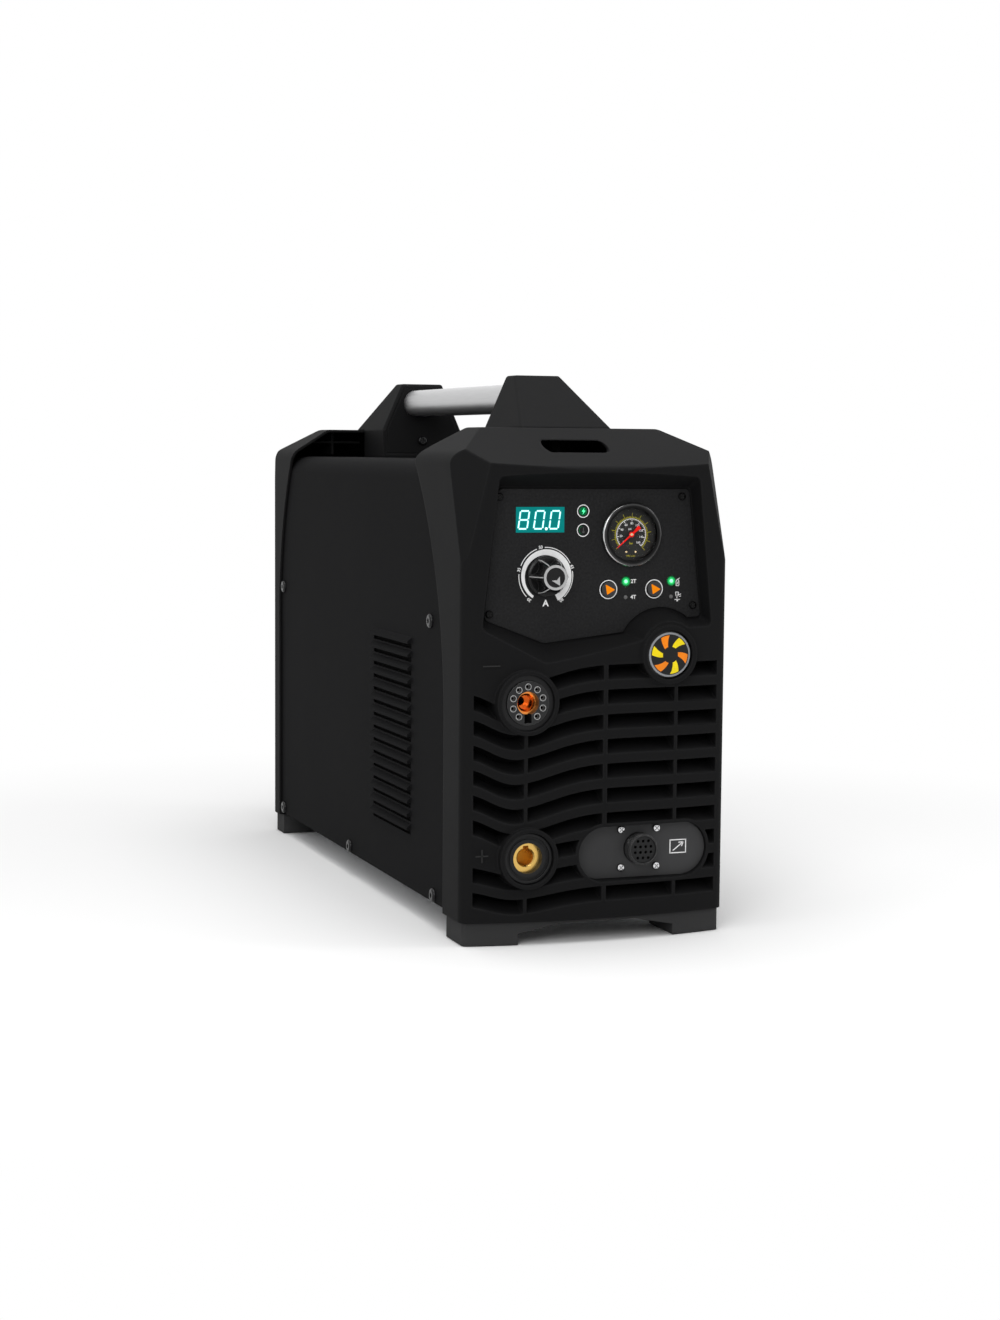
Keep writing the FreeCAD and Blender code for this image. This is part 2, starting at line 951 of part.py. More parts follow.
def base_plate():
    side = cover_half - cover_sheet - fit_gap
    y_start = front_sheet_face - 4
    y_end = rear_sheet_face + sheet + 4
    pieces = [block(-side, side, y_start, y_end, base_bottom, base_top)]
    flange = block(side - sheet, side, y_start + 8, y_end - 8, base_bottom, base_bottom + base_flange)
    return without(joined(pieces + both_sides(flange)), cover_screw_holes())


def chassis_posts():
    side = cover_half - cover_sheet - fit_gap
    foot_side = side - sheet - fit_gap
    posts = []
    for y in (cover_screw_places()[0][0], cover_screw_places()[3][0]):
        near = y - post_depth / 2
        far = y + post_depth / 2
        top = base_top + post_height
        post = block(foot_side - post_width, foot_side, near, far, base_top, top)
        inside = foot_side - post_width + sheet
        low = base_top + post_pad
        hollow = block(inside, foot_side - sheet, near - 1, far - sheet, low, top - post_pad)
        pad = block(foot_side - sheet, side, near, far, top - post_pad, top)
        post = without(joined([post.cut(hollow), pad]), cover_screw_holes())
        posts += both_sides(post)
    return Part.makeCompound(posts)


def sheet_steps():
    side = cover_half - cover_sheet - fit_gap - sheet - sheet_side_gap
    corner = cover_top - sheet_corner_drop
    top = cover_top - sheet_top_drop
    return [
        (-side, base_top),
        (side, base_top),
        (side, corner),
        (side - sheet_chamfer, top),
        (sheet_chamfer - side, top),
        (-side, corner),
    ]


def front_panel_sheet():
    y = front_sheet_face
    air_low = pill_z + pill_radius + 20
    holes = [
        rod(torch_x, torch_z, torch_bore, y - 1, y + 5),
        rod(earth_x, earth_z, earth_bore, y - 1, y + 5),
        rod(link_x, link_z, link_radius + 1.5, y - 1, y + 5),
        block(-window_half - 5, window_half + 5, y - 1, y + 5, window_low - 4, window_top + 3),
        block(torch_x + torch_flange + 6, half_width - 16, y - 1, y + 5, air_low, grille_first - 10),
    ]
    return without(from_front(sheet_steps(), y, y + sheet), holes)


def rear_panel_sheet():
    y = rear_sheet_face
    holes = [
        rod(0, fan_z, fan_bore, y - 1, y + 5),
        rod(switch_x, switch_z, switch_body / 3 + fit_gap, y - 1, y + 5),
        rod(gland_x, gland_z, gland_bore + 3 + screw_clearance, y - 1, y + 5),
        rod(regulator_x, regulator_z, regulator_radius * 0.7 + screw_clearance, y - 1, y + 5),
        rod(inlet_x, inlet_z, inlet_hex * 0.4 + screw_clearance, y - 1, y + 5),
    ]
    return without(from_front(sheet_steps(), y, y + sheet), holes)


# Foot moulding: a foot at each end and a shallow arch between them
def foot_bar(depth):
    side = half_width - foot_side_inset
    inner = side - foot_width
    view = [
        (-side, foot_height),
        (-side, 0),
        (-inner, 0),
        (-inner, foot_step),
        (-arch_half, arch_height),
        (arch_half, arch_height),
        (inner, foot_step),
        (inner, 0),
        (side, 0),
        (side, foot_height),
    ]
    corner = face_at(side, foot_front_inset)
    plan = [
        (side, corner),
        (side, corner + depth),
        (-side, corner + depth),
        (-side, corner),
        ("via", 0, -apex + foot_front_inset),
    ]
    form = from_above(plan, -1, foot_height + 1)
    form = form.makeFillet(4.0, [e for e in form.Edges if is_front_corner(e, side, corner)])
    return form.common(from_front(view, -apex - 1, 0)).removeSplitter()


# Handle tower, drawn at the front: a slanted hood on the plateau and a neck behind the rim
def tower(face_depth, rim):
    face = front_face + face_depth
    rim_face = -apex + rim + fit_gap
    outer = tower_form(face, rim_face, 0.0)
    inner = tower_form(face, rim_face, tower_wall)
    opening = from_front(tower_plate_steps(0.15), face - tower_wall - 1, face + 1)
    boss = rod(0, tower_screw_height, 5.0, rim_face, face - tower_plate_sheet)
    hole = rod(0, tower_screw_height, screw_shank + screw_clearance, face - 3 * screw_length, face + 1)
    return without(joined([outer.cut(inner).cut(opening), boss]), [hole])


def tower_form(face, rim_face, inset):
    back = face - inset
    front = face - tower_base_depth + inset
    base_half = tower_base_half - inset
    top_half = tower_top_half - inset
    top_front = face - tower_top_depth + inset
    top = tower_top - inset
    low = bezel_top if inset == 0 else bezel_top - 1
    base_wire = Part.makePolygon([
        point(-base_half, front, low),
        point(base_half, front, low),
        point(base_half, back, low),
        point(-base_half, back, low),
        point(-base_half, front, low),
    ])
    top_wire = Part.makePolygon([
        point(-top_half, top_front, top),
        point(top_half, top_front, top),
        point(top_half, back, top),
        point(-top_half, back, top),
        point(-top_half, top_front, top),
    ])
    hood = Part.makeLoft([base_wire, top_wire], True, True)
    if inset == 0:
        hood = hood.makeFillet(tower_round, [e for e in hood.Edges if e.BoundBox.ZMax > bezel_top + 1])
    neck = block(-base_half, base_half, rim_face + inset, back, cover_top - 2 * inset, low + inset / 2)
    return hood.fuse(neck)


def tower_plate_steps(grow):
    low_half = tower_base_half - tower_plate_inset + grow
    high_half = tower_top_half - tower_plate_inset / 2 + grow
    low = cover_top + tower_plate_inset - grow
    high = tower_top - tower_plate_inset + grow
    return [
        (-low_half, low),
        (low_half, low),
        (low_half, bezel_top + 1),
        (high_half, high, 3.0),
        (-high_half, high, 3.0),
        (-low_half, bezel_top + 1),
    ]


def bar_steps(grow):
    side = bar_width / 2 + grow
    tall = bar_height / 2 + grow
    return [
        (-side, bar_centre - tall, bar_round + grow),
        (side, bar_centre - tall, bar_round + grow),
        (side, bar_centre + tall, bar_round + grow),
        (-side, bar_centre + tall, bar_round + grow),
    ]


def tower_plate(face_depth):
    face = front_face + face_depth
    start = face - tower_plate_sheet
    plate = from_front(tower_plate_steps(0.0), start, face)
    bar_hole = from_front(bar_steps(0.15), start - 1, face + 1)
    screw_hole = rod(0, tower_screw_height, screw_shank + screw_clearance, start - 1, face + 1)
    return without(plate, [bar_hole, screw_hole])


def tower_plates():
    return Part.makeCompound([tower_plate(front_tower_face), front_to_back(tower_plate(rear_tower_face))])


def tower_screws():
    front = pan_screw(0, tower_screw_height, front_face + front_tower_face, 1, tower_screw_sizes)
    rear = pan_screw(0, tower_screw_height, back_face - rear_tower_face, -1, tower_screw_sizes)
    return Part.makeCompound([front, rear])


# A cross recessed pan head screw on a face square to Y. out is the way the head stands.
def pan_screw(x, z, face, out, sizes):
    head_radius, head_height, shank_radius, length = sizes
    y_tip = face + out * head_height
    head = rod(x, z, head_radius, min(face, y_tip), max(face, y_tip))
    rim = [e for e in head.Edges if abs(e.BoundBox.Center.y - y_tip) < 0.01]
    head = head.makeFillet(head_height * 0.6, rim)
    cross = head_radius * 0.55
    bar = head_radius * 0.14
    low = min(y_tip - out * head_height * 0.5, y_tip + out)
    high = max(y_tip - out * head_height * 0.5, y_tip + out)
    recess = [
        block(x - cross, x + cross, low, high, z - bar, z + bar),
        block(x - bar, x + bar, low, high, z - cross, z + cross),
    ]
    shank_end = face - out * length
    shank = rod(x, z, shank_radius, min(face, shank_end), max(face, shank_end))
    return without(head, recess).fuse(shank).removeSplitter()


tower_screw_sizes = (screw_head, screw_head_height, screw_shank, 2 * screw_length)
small_screw_sizes = (small_head, small_head_height, small_shank, small_length)


def handle_bar():
    y_start = front_face + front_tower_face - bar_grip
    y_end = back_face - rear_tower_face + bar_grip
    outer = from_front(bar_steps(0.0), y_start, y_end)
    return outer.cut(from_front(bar_steps(-bar_wall), y_start - 1, y_end + 1))


def button_places():
    return [(x, button_z) for x in button_xs]


def led_places():
    return [(x + led_offset, z) for x in button_xs for z in (led_high, led_low)]


def control_panel():
    start = panel_front - 1
    end = panel_back + 1
    holes = [
        block(
            display_x - display_width / 2, display_x + display_width / 2, start, end,
            display_z - display_height / 2, display_z + display_height / 2,
        ),
        rod(dial_x, dial_z, bush_radius + screw_clearance, start, end),
        rod(gauge_x, gauge_z, gauge_case_radius + screw_clearance, start, end),
    ]
    for z in (lamp_high, lamp_low):
        holes.append(rod(lamp_x, z, lamp_radius + screw_clearance, start, end))
    for x, z in led_places():
        holes.append(rod(x, z, led_radius + screw_clearance, start, end))
    for x, z in button_places():
        holes.append(rod(x, z, button_radius + button_gap, start, end))
    for x, z in panel_screw_places:
        holes.append(rod(x, z, small_shank + screw_clearance, start, end))
    return without(from_front(panel_steps(panel_corners), panel_front, panel_back), holes)


def small_screws():
    screws = [pan_screw(x, z, panel_front, -1, small_screw_sizes) for x, z in panel_screw_places]
    face = plate_back() - plate_sheet
    for x, z in link_screw_places():
        screws.append(pan_screw(x, z, face, -1, small_screw_sizes))
    return Part.makeCompound(screws)


def display_window():
    side = display_width / 2 - screw_clearance
    tall = display_height / 2 - screw_clearance
    low = display_z - tall
    high = display_z + tall
    return block(display_x - side, display_x + side, panel_front - display_proud, panel_back, low, high)


# The steps of a shallow round cap that stands proud of its seat
def cap_steps(radius, seat, proud):
    curve = (radius ** 2 + proud ** 2) / (2 * proud)
    reach = radius * 0.6
    drop = curve - math.sqrt(curve ** 2 - reach ** 2)
    return [(radius, seat), ("via", reach, seat - proud + drop), (0, seat - proud)]


def lens(x, z, radius, proud):
    steps = [(0, panel_back), (radius, panel_back)] + cap_steps(radius, panel_front, proud)
    return turned(x, z, steps)


def indicator_lenses():
    return Part.makeCompound([lens(lamp_x, z, lamp_radius, 0.8) for z in (lamp_high, lamp_low)])


def led_lenses():
    return Part.makeCompound([lens(x, z, led_radius, 0.6) for x, z in led_places()])


# A push button: its cap stands out of the panel and a collar behind the sheet keeps it in
def push_button(x, z):
    collar = panel_back + button_gap
    cap = rod(x, z, button_radius, panel_front - button_proud, collar)
    rim = [e for e in cap.Edges if abs(e.BoundBox.Center.y - panel_front + button_proud) < 0.01]
    cap = cap.makeFillet(0.5, [e for e in rim if e.Length > button_radius])
    return cap.fuse(rod(x, z, button_radius + 1, collar, collar + button_collar)).removeSplitter()


def control_board():
    side = window_half - 2
    low = window_low + 2
    high = window_top - 2
    board = block(-side, side, board_front, board_front + board_sheet, low, high)
    clear = gauge_case_radius + 1.5
    y_end = board_front + 5
    cutouts = [
        rod(gauge_x, gauge_z, clear, board_front - 1, y_end),
        block(gauge_x - clear, gauge_x + clear, board_front - 1, y_end, gauge_z, high + 1),
    ]
    return joined([without(board, cutouts)] + board_pillars())


# The board stands on the back of the panel sheet
def board_pillars():
    side = window_half - 6
    pillars = []
    for x in (-side, side):
        for z in (window_low + 6, window_top - 6):
            pillars.append(rod(x, z, 2.6, panel_back, board_front))
    return pillars


def encoder_body():
    half = encoder_size / 2
    bush_tip = panel_front - 3.2
    body = block(dial_x - half, dial_x + half, panel_back, board_front, dial_z - half, dial_z + half)
    bush = rod(dial_x, dial_z, bush_radius, bush_tip, panel_back + 1)
    nut = hexagon(dial_x, dial_z, 3 * bush_radius, panel_front - 2, panel_front)
    bore = rod(dial_x, dial_z, shaft_radius + running_gap, bush_tip - 1, board_front - 0.5)
    return joined([body, bush, nut]).cut(bore)


def knob_shaft():
    return rod(dial_x, dial_z, shaft_radius, knob_tip() + 4, board_front - 0.8)


def knob_tip():
    return panel_front - knob_gap - knob_length


def current_knob():
    tip = knob_tip()
    back = panel_front - knob_gap
    shoulder = knob_radius - 1.6
    steps = [
        (0, back),
        (knob_radius, back, 0.5),
        (knob_radius, back - 2.6, 0.8),
        (shoulder, back - 3.4),
        ("via", (shoulder + knob_top_radius) / 2 + 1.0, (back + tip) / 2 - 2),
        (knob_top_radius, tip + 1.2),
        (knob_top_radius - 1.0, tip),
        (0, tip),
    ]
    knob = turned(dial_x, dial_z, steps)
    flute_radius = knob_radius * 0.4
    circle = knob_top_radius + flute_radius * 0.9
    flutes = []
    for number in range(knob_flutes):
        angle = math.radians(360.0 * number / knob_flutes + 30)
        x = dial_x + circle * math.cos(angle)
        z = dial_z + circle * math.sin(angle)
        flutes.append(rod(x, z, flute_radius, tip + 2.4, back - 3.8))
    hollows = [
        rod(dial_x, dial_z, 2.2 * bush_radius, back - 4.4, back + 1),
        rod(dial_x, dial_z, shaft_radius + 0.02, tip + 3.8, back),
        rod(dial_x, dial_z, knob_cap_radius + running_gap, tip - 1, tip + knob_cap_height),
    ]
    return without(knob, flutes + hollows)


def knob_cap():
    tip = knob_tip()
    return rod(dial_x, dial_z, knob_cap_radius, tip, tip + knob_cap_height)


gauge_front = panel_front - gauge_ring_proud
dial_front = panel_front - gauge_dial_sheet
lens_front = gauge_front + 0.7


def gauge_case():
    end = panel_front + gauge_case_depth
    can = rod(gauge_x, gauge_z, gauge_case_radius, panel_front, end)
    stem = hexagon(gauge_x, gauge_z, gauge_stem, end, end + gauge_stem_length)
    hole = rod(gauge_x, gauge_z, needle_pin + running_gap, panel_front - 1, panel_front + needle_depth + 1)
    return joined([can, stem]).cut(hole)


def gauge_ring():
    steps = [
        (gauge_bore, panel_front),
        (gauge_radius, panel_front),
        (gauge_radius, gauge_front + 1.8),
        ("via", gauge_radius - 0.9, gauge_front + 0.5),
        (gauge_radius - 2.2, gauge_front),
        (gauge_bore - 1.0, lens_front - 0.3),
        (gauge_bore - 1.0, lens_front),
        (gauge_bore, lens_front),
    ]
    return turned(gauge_x, gauge_z, steps)


def gauge_lens():
    return rod(gauge_x, gauge_z, gauge_bore - screw_clearance, lens_front, lens_front + gauge_lens_sheet)


def gauge_dial():
    return ring(
        gauge_x, gauge_z, gauge_bore - screw_clearance, needle_pin + running_gap, dial_front, panel_front
    )


def gauge_needle():
    y_back = dial_front - needle_lift + needle_sheet / 2
    y_front = y_back - needle_sheet
    outline = [
        (-needle_tail, -needle_width),
        (-needle_tail * 0.3, -needle_width / 2),
        (needle_length, -needle_width * 0.15),
        (needle_length, needle_width * 0.15),
        (-needle_tail * 0.3, needle_width / 2),
        (-needle_tail, needle_width),
    ]
    blade = from_front(outline, y_front, y_back)
    blade.rotate(point(0, 0, 0), point(0, -1, 0), needle_rest)
    blade.translate(point(gauge_x, 0, gauge_z))
    hub = rod(gauge_x, gauge_z, needle_hub, y_front - 0.2, y_back)
    pin = rod(gauge_x, gauge_z, needle_pin, y_back - 0.1, panel_front + needle_depth)
    return joined([blade, hub, pin])


def badge_dome():
    floor = -apex + badge_sunk
    shoulder = -apex + badge_shoulder
    rise = badge_height - badge_sunk + badge_shoulder
    steps = [(0, floor), (badge_radius, floor)] + cap_steps(badge_radius, shoulder, rise)
    return turned(badge_x, badge_z, steps)


socket_back = front_sheet_face + sheet
torch_front = -apex + insert_front
torch_end = torch_front + insert_depth


def torch_socket_housing():
    start = -apex + torch_sunk
    outer = rod(torch_x, torch_z, torch_bore - fit_gap, start, socket_back + 1)
    flange = rod(torch_x, torch_z, torch_flange, socket_back, socket_back + socket_flange_sheet)
    bore = rod(torch_x, torch_z, insert_radius + screw_clearance, start - 1, socket_back + 10)
    return joined([outer, flange]).cut(bore)


def torch_pin_places():
    places = []
    for number in range(1, 10):
        angle = math.radians(-90 + 36 * number)
        x = torch_x + torch_pin_circle * math.cos(angle)
        z = torch_z + torch_pin_circle * math.sin(angle)
        places.append((x, z))
    return places


def torch_socket_insert():
    body = rod(torch_x, torch_z, insert_radius, torch_front, torch_end)
    holes = [
        rod(torch_x, torch_z, torch_hole, torch_front - 1, torch_end + 1),
        block(
            torch_x - torch_key / 2, torch_x + torch_key / 2, torch_front - 1, torch_front + 16,
            torch_z - insert_radius + 1.5, torch_z,
        ),
    ]
    for x, z in torch_pin_places():
        holes.append(rod(x, z, torch_pin_hole, torch_front - 1, torch_end + 1))
    return without(body, holes)


def torch_socket_contact():
    start = torch_front + torch_contact_sunk
    end = torch_end + torch_hose_gap
    radius = torch_hole - screw_clearance
    steps = [
        (torch_contact_bore, start + 2),
        (torch_contact_bore + 1.6, start),
        (radius, start),
        (radius, torch_end + 4),
        (radius - 2, torch_end + 4),
        (radius - 2, end),
        (torch_contact_bore - 2, end),
        (torch_contact_bore - 2, start + 14),
        (torch_contact_bore, start + 14),
    ]
    return turned(torch_x, torch_z, steps)


def torch_socket_pins():
    start = torch_front + torch_pin_sunk
    end = torch_end + 5
    outer = torch_pin_hole - screw_clearance
    inner = outer - torch_pin_wall
    return Part.makeCompound([ring(x, z, outer, inner, start, end) for x, z in torch_pin_places()])


def earth_socket_body():
    start = -apex + earth_sunk
    radius = earth_bore - fit_gap
    steps = [
        (earth_brass + screw_clearance, socket_back + socket_flange_sheet),
        (earth_boss + 2, socket_back + socket_flange_sheet),
        (earth_boss + 2, socket_back),
        (radius, socket_back),
        (radius, start + 0.8),
        (radius - 0.8, start),
        (radius - 2.6, start),
        (radius - 2.6, start + 2.4),
        (radius - 5.2, start + 2.4),
        (radius - 5.2, start + 1.0),
        (earth_brass + screw_clearance, start + 1.0),
    ]
    return turned(earth_x, earth_z, steps)


def earth_socket_insert():
    start = -apex + earth_brass_sunk
    end = socket_back + socket_flange_sheet + 4
    pin_end = start + earth_pin_depth
    body = [
        rod(earth_x, earth_z, earth_brass, start, end),
        hexagon(earth_x, earth_z, 2.2 * earth_brass, end, end + 6),
        rod(earth_x, earth_z, earth_stud, end, end + earth_stud_length),
    ]
    bevel = [(0, start - 1), (earth_pin + 2.0, start - 1), (earth_pin, start + 1), (0, start + 1)]
    mouth = turned(earth_x, earth_z, bevel)
    key = block(
        earth_x - earth_key / 2, earth_x + earth_key / 2, start - 1, start + earth_pin_depth / 2,
        earth_z, earth_z + earth_pin + earth_key_depth,
    )
    return without(joined(body), [rod(earth_x, earth_z, earth_pin, start - 1, pin_end), mouth, key])


def link_screw_places():
    half = link_screw_pitch / 2
    return [(link_x + across * half, link_z + up * half) for across in (-1, 1) for up in (-1, 1)]


def interface_plate():
    half = pill_half - pill_wall - fit_gap
    radius = pill_radius - pill_wall - fit_gap
    start = plate_back() - plate_sheet
    plate = pill(pill_x, pill_z, half, radius, start, plate_back())
    holes = [rod(link_x, link_z, link_radius + screw_clearance, start - 1, plate_back() + 1)]
    for x, z in link_screw_places():
        holes.append(rod(x, z, small_shank + screw_clearance, start - 1, plate_back() + 1))
    return without(plate, holes)


def interface_socket_shell():
    tip = plate_back() - plate_sheet - link_proud
    end = front_sheet_face + 6
    half = link_screw_pitch / 2 + link_flange_edge
    shell = [
        rod(link_x, link_z, link_radius - 0.7, tip, end),
        rod(link_x, link_z, link_radius, plate_back() - plate_sheet - 3, plate_back() + 4),
        block(
            link_x - half, link_x + half, plate_back(), plate_back() + link_flange_sheet,
            link_z - half, link_z + half,
        ),
    ]
    for number in range(4):
        start = tip + 1.2 + number * 1.7
        shell.append(rod(link_x, link_z, link_radius, start, start + 0.9))
    holes = [rod(link_x, link_z, link_bore, tip - 1, end - 2)]
    for x, z in link_screw_places():
        holes.append(rod(x, z, small_shank + screw_clearance, plate_back() - 1, plate_back() + 5))
    return without(joined(shell), holes)


def interface_socket_insert():
    tip = plate_back() - plate_sheet - link_proud + link_insert_sunk
    body = rod(link_x, link_z, link_bore - screw_clearance, tip, front_sheet_face + 4)
    pitch = 4.4
    holes = []
    for level, number in ((1.5, 3), (0.5, 4), (-0.5, 4), (-1.5, 3)):
        for place in range(number):
            x = link_x + (place - (number - 1) / 2) * pitch
            holes.append(rod(x, link_z + level * pitch, link_pin_hole, tip - 1, tip + 8))
    return without(body, holes)


fan_start = rear_sheet_face - fan_depth
guard_back = rear_sheet_face + sheet


def fan_frame():
    body = square(0, fan_z, fan_size, fan_round, fan_start, rear_sheet_face)
    body = body.cut(rod(0, fan_z, fan_bore, fan_start - 1, rear_sheet_face + 1))
    low = fan_z - fan_strut / 2
    high = fan_z + fan_strut / 2
    spider = [rod(0, fan_z, fan_hub, fan_start, fan_start + fan_plate)]
    for angle in (45, 135, 225, 315):
        strut = block(0, fan_bore + 3, fan_start, fan_start + fan_plate, low, high)
        strut.rotate(point(0, 0, fan_z), point(0, 1, 0), angle)
        spider.append(strut)
    hole = rod(0, fan_z, fan_shaft + running_gap, fan_start - 1, fan_start + fan_plate + 1)
    return joined([body] + spider).cut(hole)


def fan_rotor():
    start = fan_start + fan_plate + 1
    end = rear_sheet_face - 3
    middle = (start + end) / 2
    reach = fan_bore - fan_tip_gap
    pieces = [rod(0, fan_z, fan_hub, start, end), rod(0, fan_z, fan_shaft, fan_start + 0.5, start + 1)]
    for number in range(fan_blades):
        blade = block(fan_hub - 2, fan_bore + 10, middle - 15, middle + 15, fan_z - 0.9, fan_z + 0.9)
        blade.rotate(point(0, middle, fan_z), point(1, 0, 0), 52)
        blade.rotate(point(0, 0, fan_z), point(0, 1, 0), 360.0 * number / fan_blades)
        pieces.append(blade)
    room = rod(0, fan_z, reach, start - 1, end)
    core = rod(0, fan_z, fan_shaft, fan_start, end)
    return joined(pieces).common(room.fuse(core)).removeSplitter()


def fan_guard():
    pieces = []
    radius = fan_bore - guard_wire
    ring_start = guard_back + guard_gap - guard_wire
    ring_end = guard_back + guard_gap + guard_wire
    while radius > fan_hub / 2:
        pieces.append(ring(0, fan_z, radius + guard_wire, radius - guard_wire, ring_start, ring_end))
        radius -= guard_pitch
    reach = fan_bore + guard_foot
    half = guard_wire * 1.3
    for angle in (45, 135):
        spoke = block(-reach, reach, guard_back, guard_back + guard_gap, fan_z - half, fan_z + half)
        spoke.rotate(point(0, 0, fan_z), point(0, 1, 0), angle)
        pieces.append(spoke)
    return joined(pieces)


def mains_switch_body():
    back = rear_sheet_face - switch_depth
    pieces = [
        square(switch_x, switch_z, switch_size, switch_round, guard_back, guard_back + switch_plate),
        rod(switch_x, switch_z, switch_body / 3, rear_sheet_face - 1, guard_back + 1),
        square(switch_x, switch_z, switch_body, switch_round, back, rear_sheet_face),
    ]
    bore = rod(switch_x, switch_z, shaft_radius + running_gap, rear_sheet_face - 10, guard_back + 10)
    return joined(pieces).cut(bore)


def mains_switch_knob():
    start = guard_back + switch_plate + button_gap
    end = start + switch_knob_length
    grip = block(
        switch_x - switch_grip / 2, switch_x + switch_grip / 2, start + 2, end,
        switch_z - switch_knob_radius + 2, switch_z + switch_knob_radius - 1,
    )
    pieces = [
        rod(switch_x, switch_z, switch_knob_radius, start, start + 4),
        grip,
        rod(switch_x, switch_z, shaft_radius, rear_sheet_face - 8, start + 1),
    ]
    return joined(pieces)


def cable_gland():
    thread = gland_bore + 3
    end = guard_back + gland_length
    steps = [
        (gland_bore, rear_sheet_face - 9),
        (thread, rear_sheet_face - 9),
        (thread, guard_back + 1),
        (gland_nut - 1.5, guard_back + 1),
        (gland_nut - 1.5, end - 10),
        ("via", gland_nut - 3, end - 3.5),
        (gland_bore + 2, end),
        (gland_bore, end),
    ]
    pieces = [
        turned(gland_x, gland_z, steps),
        hexagon(gland_x, gland_z, 2 * gland_nut - 2, guard_back, guard_back + 8),
        hexagon(gland_x, gland_z, 2 * gland_nut - 4, rear_sheet_face - 6, rear_sheet_face),
    ]
    bore = rod(gland_x, gland_z, gland_bore, rear_sheet_face - 12, end + 1)
    return joined(pieces).cut(bore)


def air_regulator_body():
    neck = regulator_radius * 0.7
    start = rear_sheet_face - regulator_depth
    end = guard_back + 3
    pieces = [
        rod(regulator_x, regulator_z, regulator_radius, start, rear_sheet_face),
        rod(regulator_x, regulator_z, neck, rear_sheet_face - 1, end),
    ]
    bore_radius = regulator_stem_radius + running_gap
    bore = rod(regulator_x, regulator_z, bore_radius, rear_sheet_face - 16, end + 1)
    return joined(pieces).cut(bore)


knob_start = guard_back + 5
knob_end = knob_start + regulator_knob_length


def regulator_stem():
    end = knob_start + regulator_knob_length * 0.7
    return rod(regulator_x, regulator_z, regulator_stem_radius, rear_sheet_face - 14, end)


def regulator_knob():
    radius = regulator_knob_radius
    steps = [
        (0, knob_start),
        (radius, knob_start, 1.0),
        (radius - 1.5, knob_end, 2.0),
        (0, knob_end),
    ]
    knob = turned(regulator_x, regulator_z, steps)
    tools = [
        rod(regulator_x, regulator_z, regulator_stem_radius + running_gap, knob_start - 1, knob_end - 4)
    ]
    for number in range(12):
        angle = math.radians(30 * number)
        x = regulator_x + (radius + 1.5) * math.cos(angle)
        z = regulator_z + (radius + 1.5) * math.sin(angle)
        tools.append(rod(x, z, 2.6, knob_start + 3, knob_end + 1))
    return without(knob, tools)


def air_inlet_fitting():
    thread = inlet_hex * 0.4
    tip = guard_back + inlet_length
    steps = [
        (inlet_bore, rear_sheet_face - 12),
        (thread, rear_sheet_face - 12),
        (thread, guard_back + 8),
        (thread - 1, guard_back + 8),
        (thread - 1, tip - 12),
        (thread - 2.2, tip - 11),
        (thread - 2.2, tip - 8),
        (thread - 0.6, tip - 6),
        (thread - 0.6, tip - 3),
        (inlet_bore + 1, tip),
        (inlet_bore, tip),
    ]
    pieces = [
        turned(inlet_x, inlet_z, steps),
        hexagon(inlet_x, inlet_z, inlet_hex, guard_back, guard_back + 7),
        hexagon(inlet_x, inlet_z, inlet_hex, rear_sheet_face - 4, rear_sheet_face),
    ]
    bore = rod(inlet_x, inlet_z, inlet_bore, rear_sheet_face - 13, tip + 1)
    return joined(pieces).cut(bore)


# Power parts inside, on the base plate
sink_middle = fan_start - 28 - sink_length / 2
module_base = base_top + sink_height
power_board_base = module_base + module_height
power_board_top = power_board_base + board_sheet
power_middle = fan_start - 12 - power_board_length / 2
core_middle = front_sheet_face + core_setback + core_length / 2
valve_x = (torch_x + regulator_x) / 2
valve_y = front_sheet_face + valve_setback + valve_size / 2
valve_top = base_top + valve_height


def heatsink():
    y_start = sink_middle - sink_length / 2
    y_end = sink_middle + sink_length / 2
    half = sink_width / 2
    pieces = [block(-half, half, y_start, y_end, module_base - sink_base, module_base)]
    pitch = (sink_width - fin_sheet) / (sink_fins - 1)
    for number in range(sink_fins):
        x = -half + number * pitch
        pieces.append(block(x, x + fin_sheet, y_start, y_end, base_top, module_base - sink_base / 2))
    return joined(pieces)


# The board that lies on its power modules, with a driver board standing on its front edge
def inverter_board():
    half = power_board_width / 2
    y_start = power_middle - power_board_length / 2
    y_end = y_start + power_board_length
    driver_top = power_board_top + driver_height
    pieces = [
        block(-half, half, y_start, y_end, power_board_base, power_board_top),
        block(-half, half, y_start, y_start + board_sheet, power_board_top, driver_top),
    ]
    return joined(pieces + power_modules())


def power_modules():
    modules = []
    for place in (-1.5, -0.5, 0.5, 1.5):
        middle = sink_middle + place * sink_length / 4
        depth = module_width / 2
        half = module_length / 2
        modules.append(block(-half, half, middle - depth, middle + depth, module_base, power_board_base))
    return modules


def bus_capacitors():
    cans = []
    for across in (-1, 1):
        for along in (-0.5, 0.5):
            x = across * core_width / 2
            y = power_middle + along * 3 * capacitor_radius
            cans.append(Part.makeCylinder(capacitor_radius, capacitor_height, point(x, y, power_board_top)))
    return Part.makeCompound(cans)


def transformer_core():
    x_low = core_x - core_width / 2
    x_high = core_x + core_width / 2
    y_start = core_middle - core_length / 2
    y_end = core_middle + core_length / 2
    top = base_top + core_height
    leg = core_width / 6
    core = block(x_low, x_high, y_start + core_inset, y_end - core_inset, base_top, top)
    inner_low = base_top + leg
    windows = [
        block(x_low + leg, 20 - leg, y_start, y_end, inner_low, top - leg),
        block(20 + leg, x_high - leg, y_start, y_end, inner_low, top - leg),
    ]
    return without(core, windows)


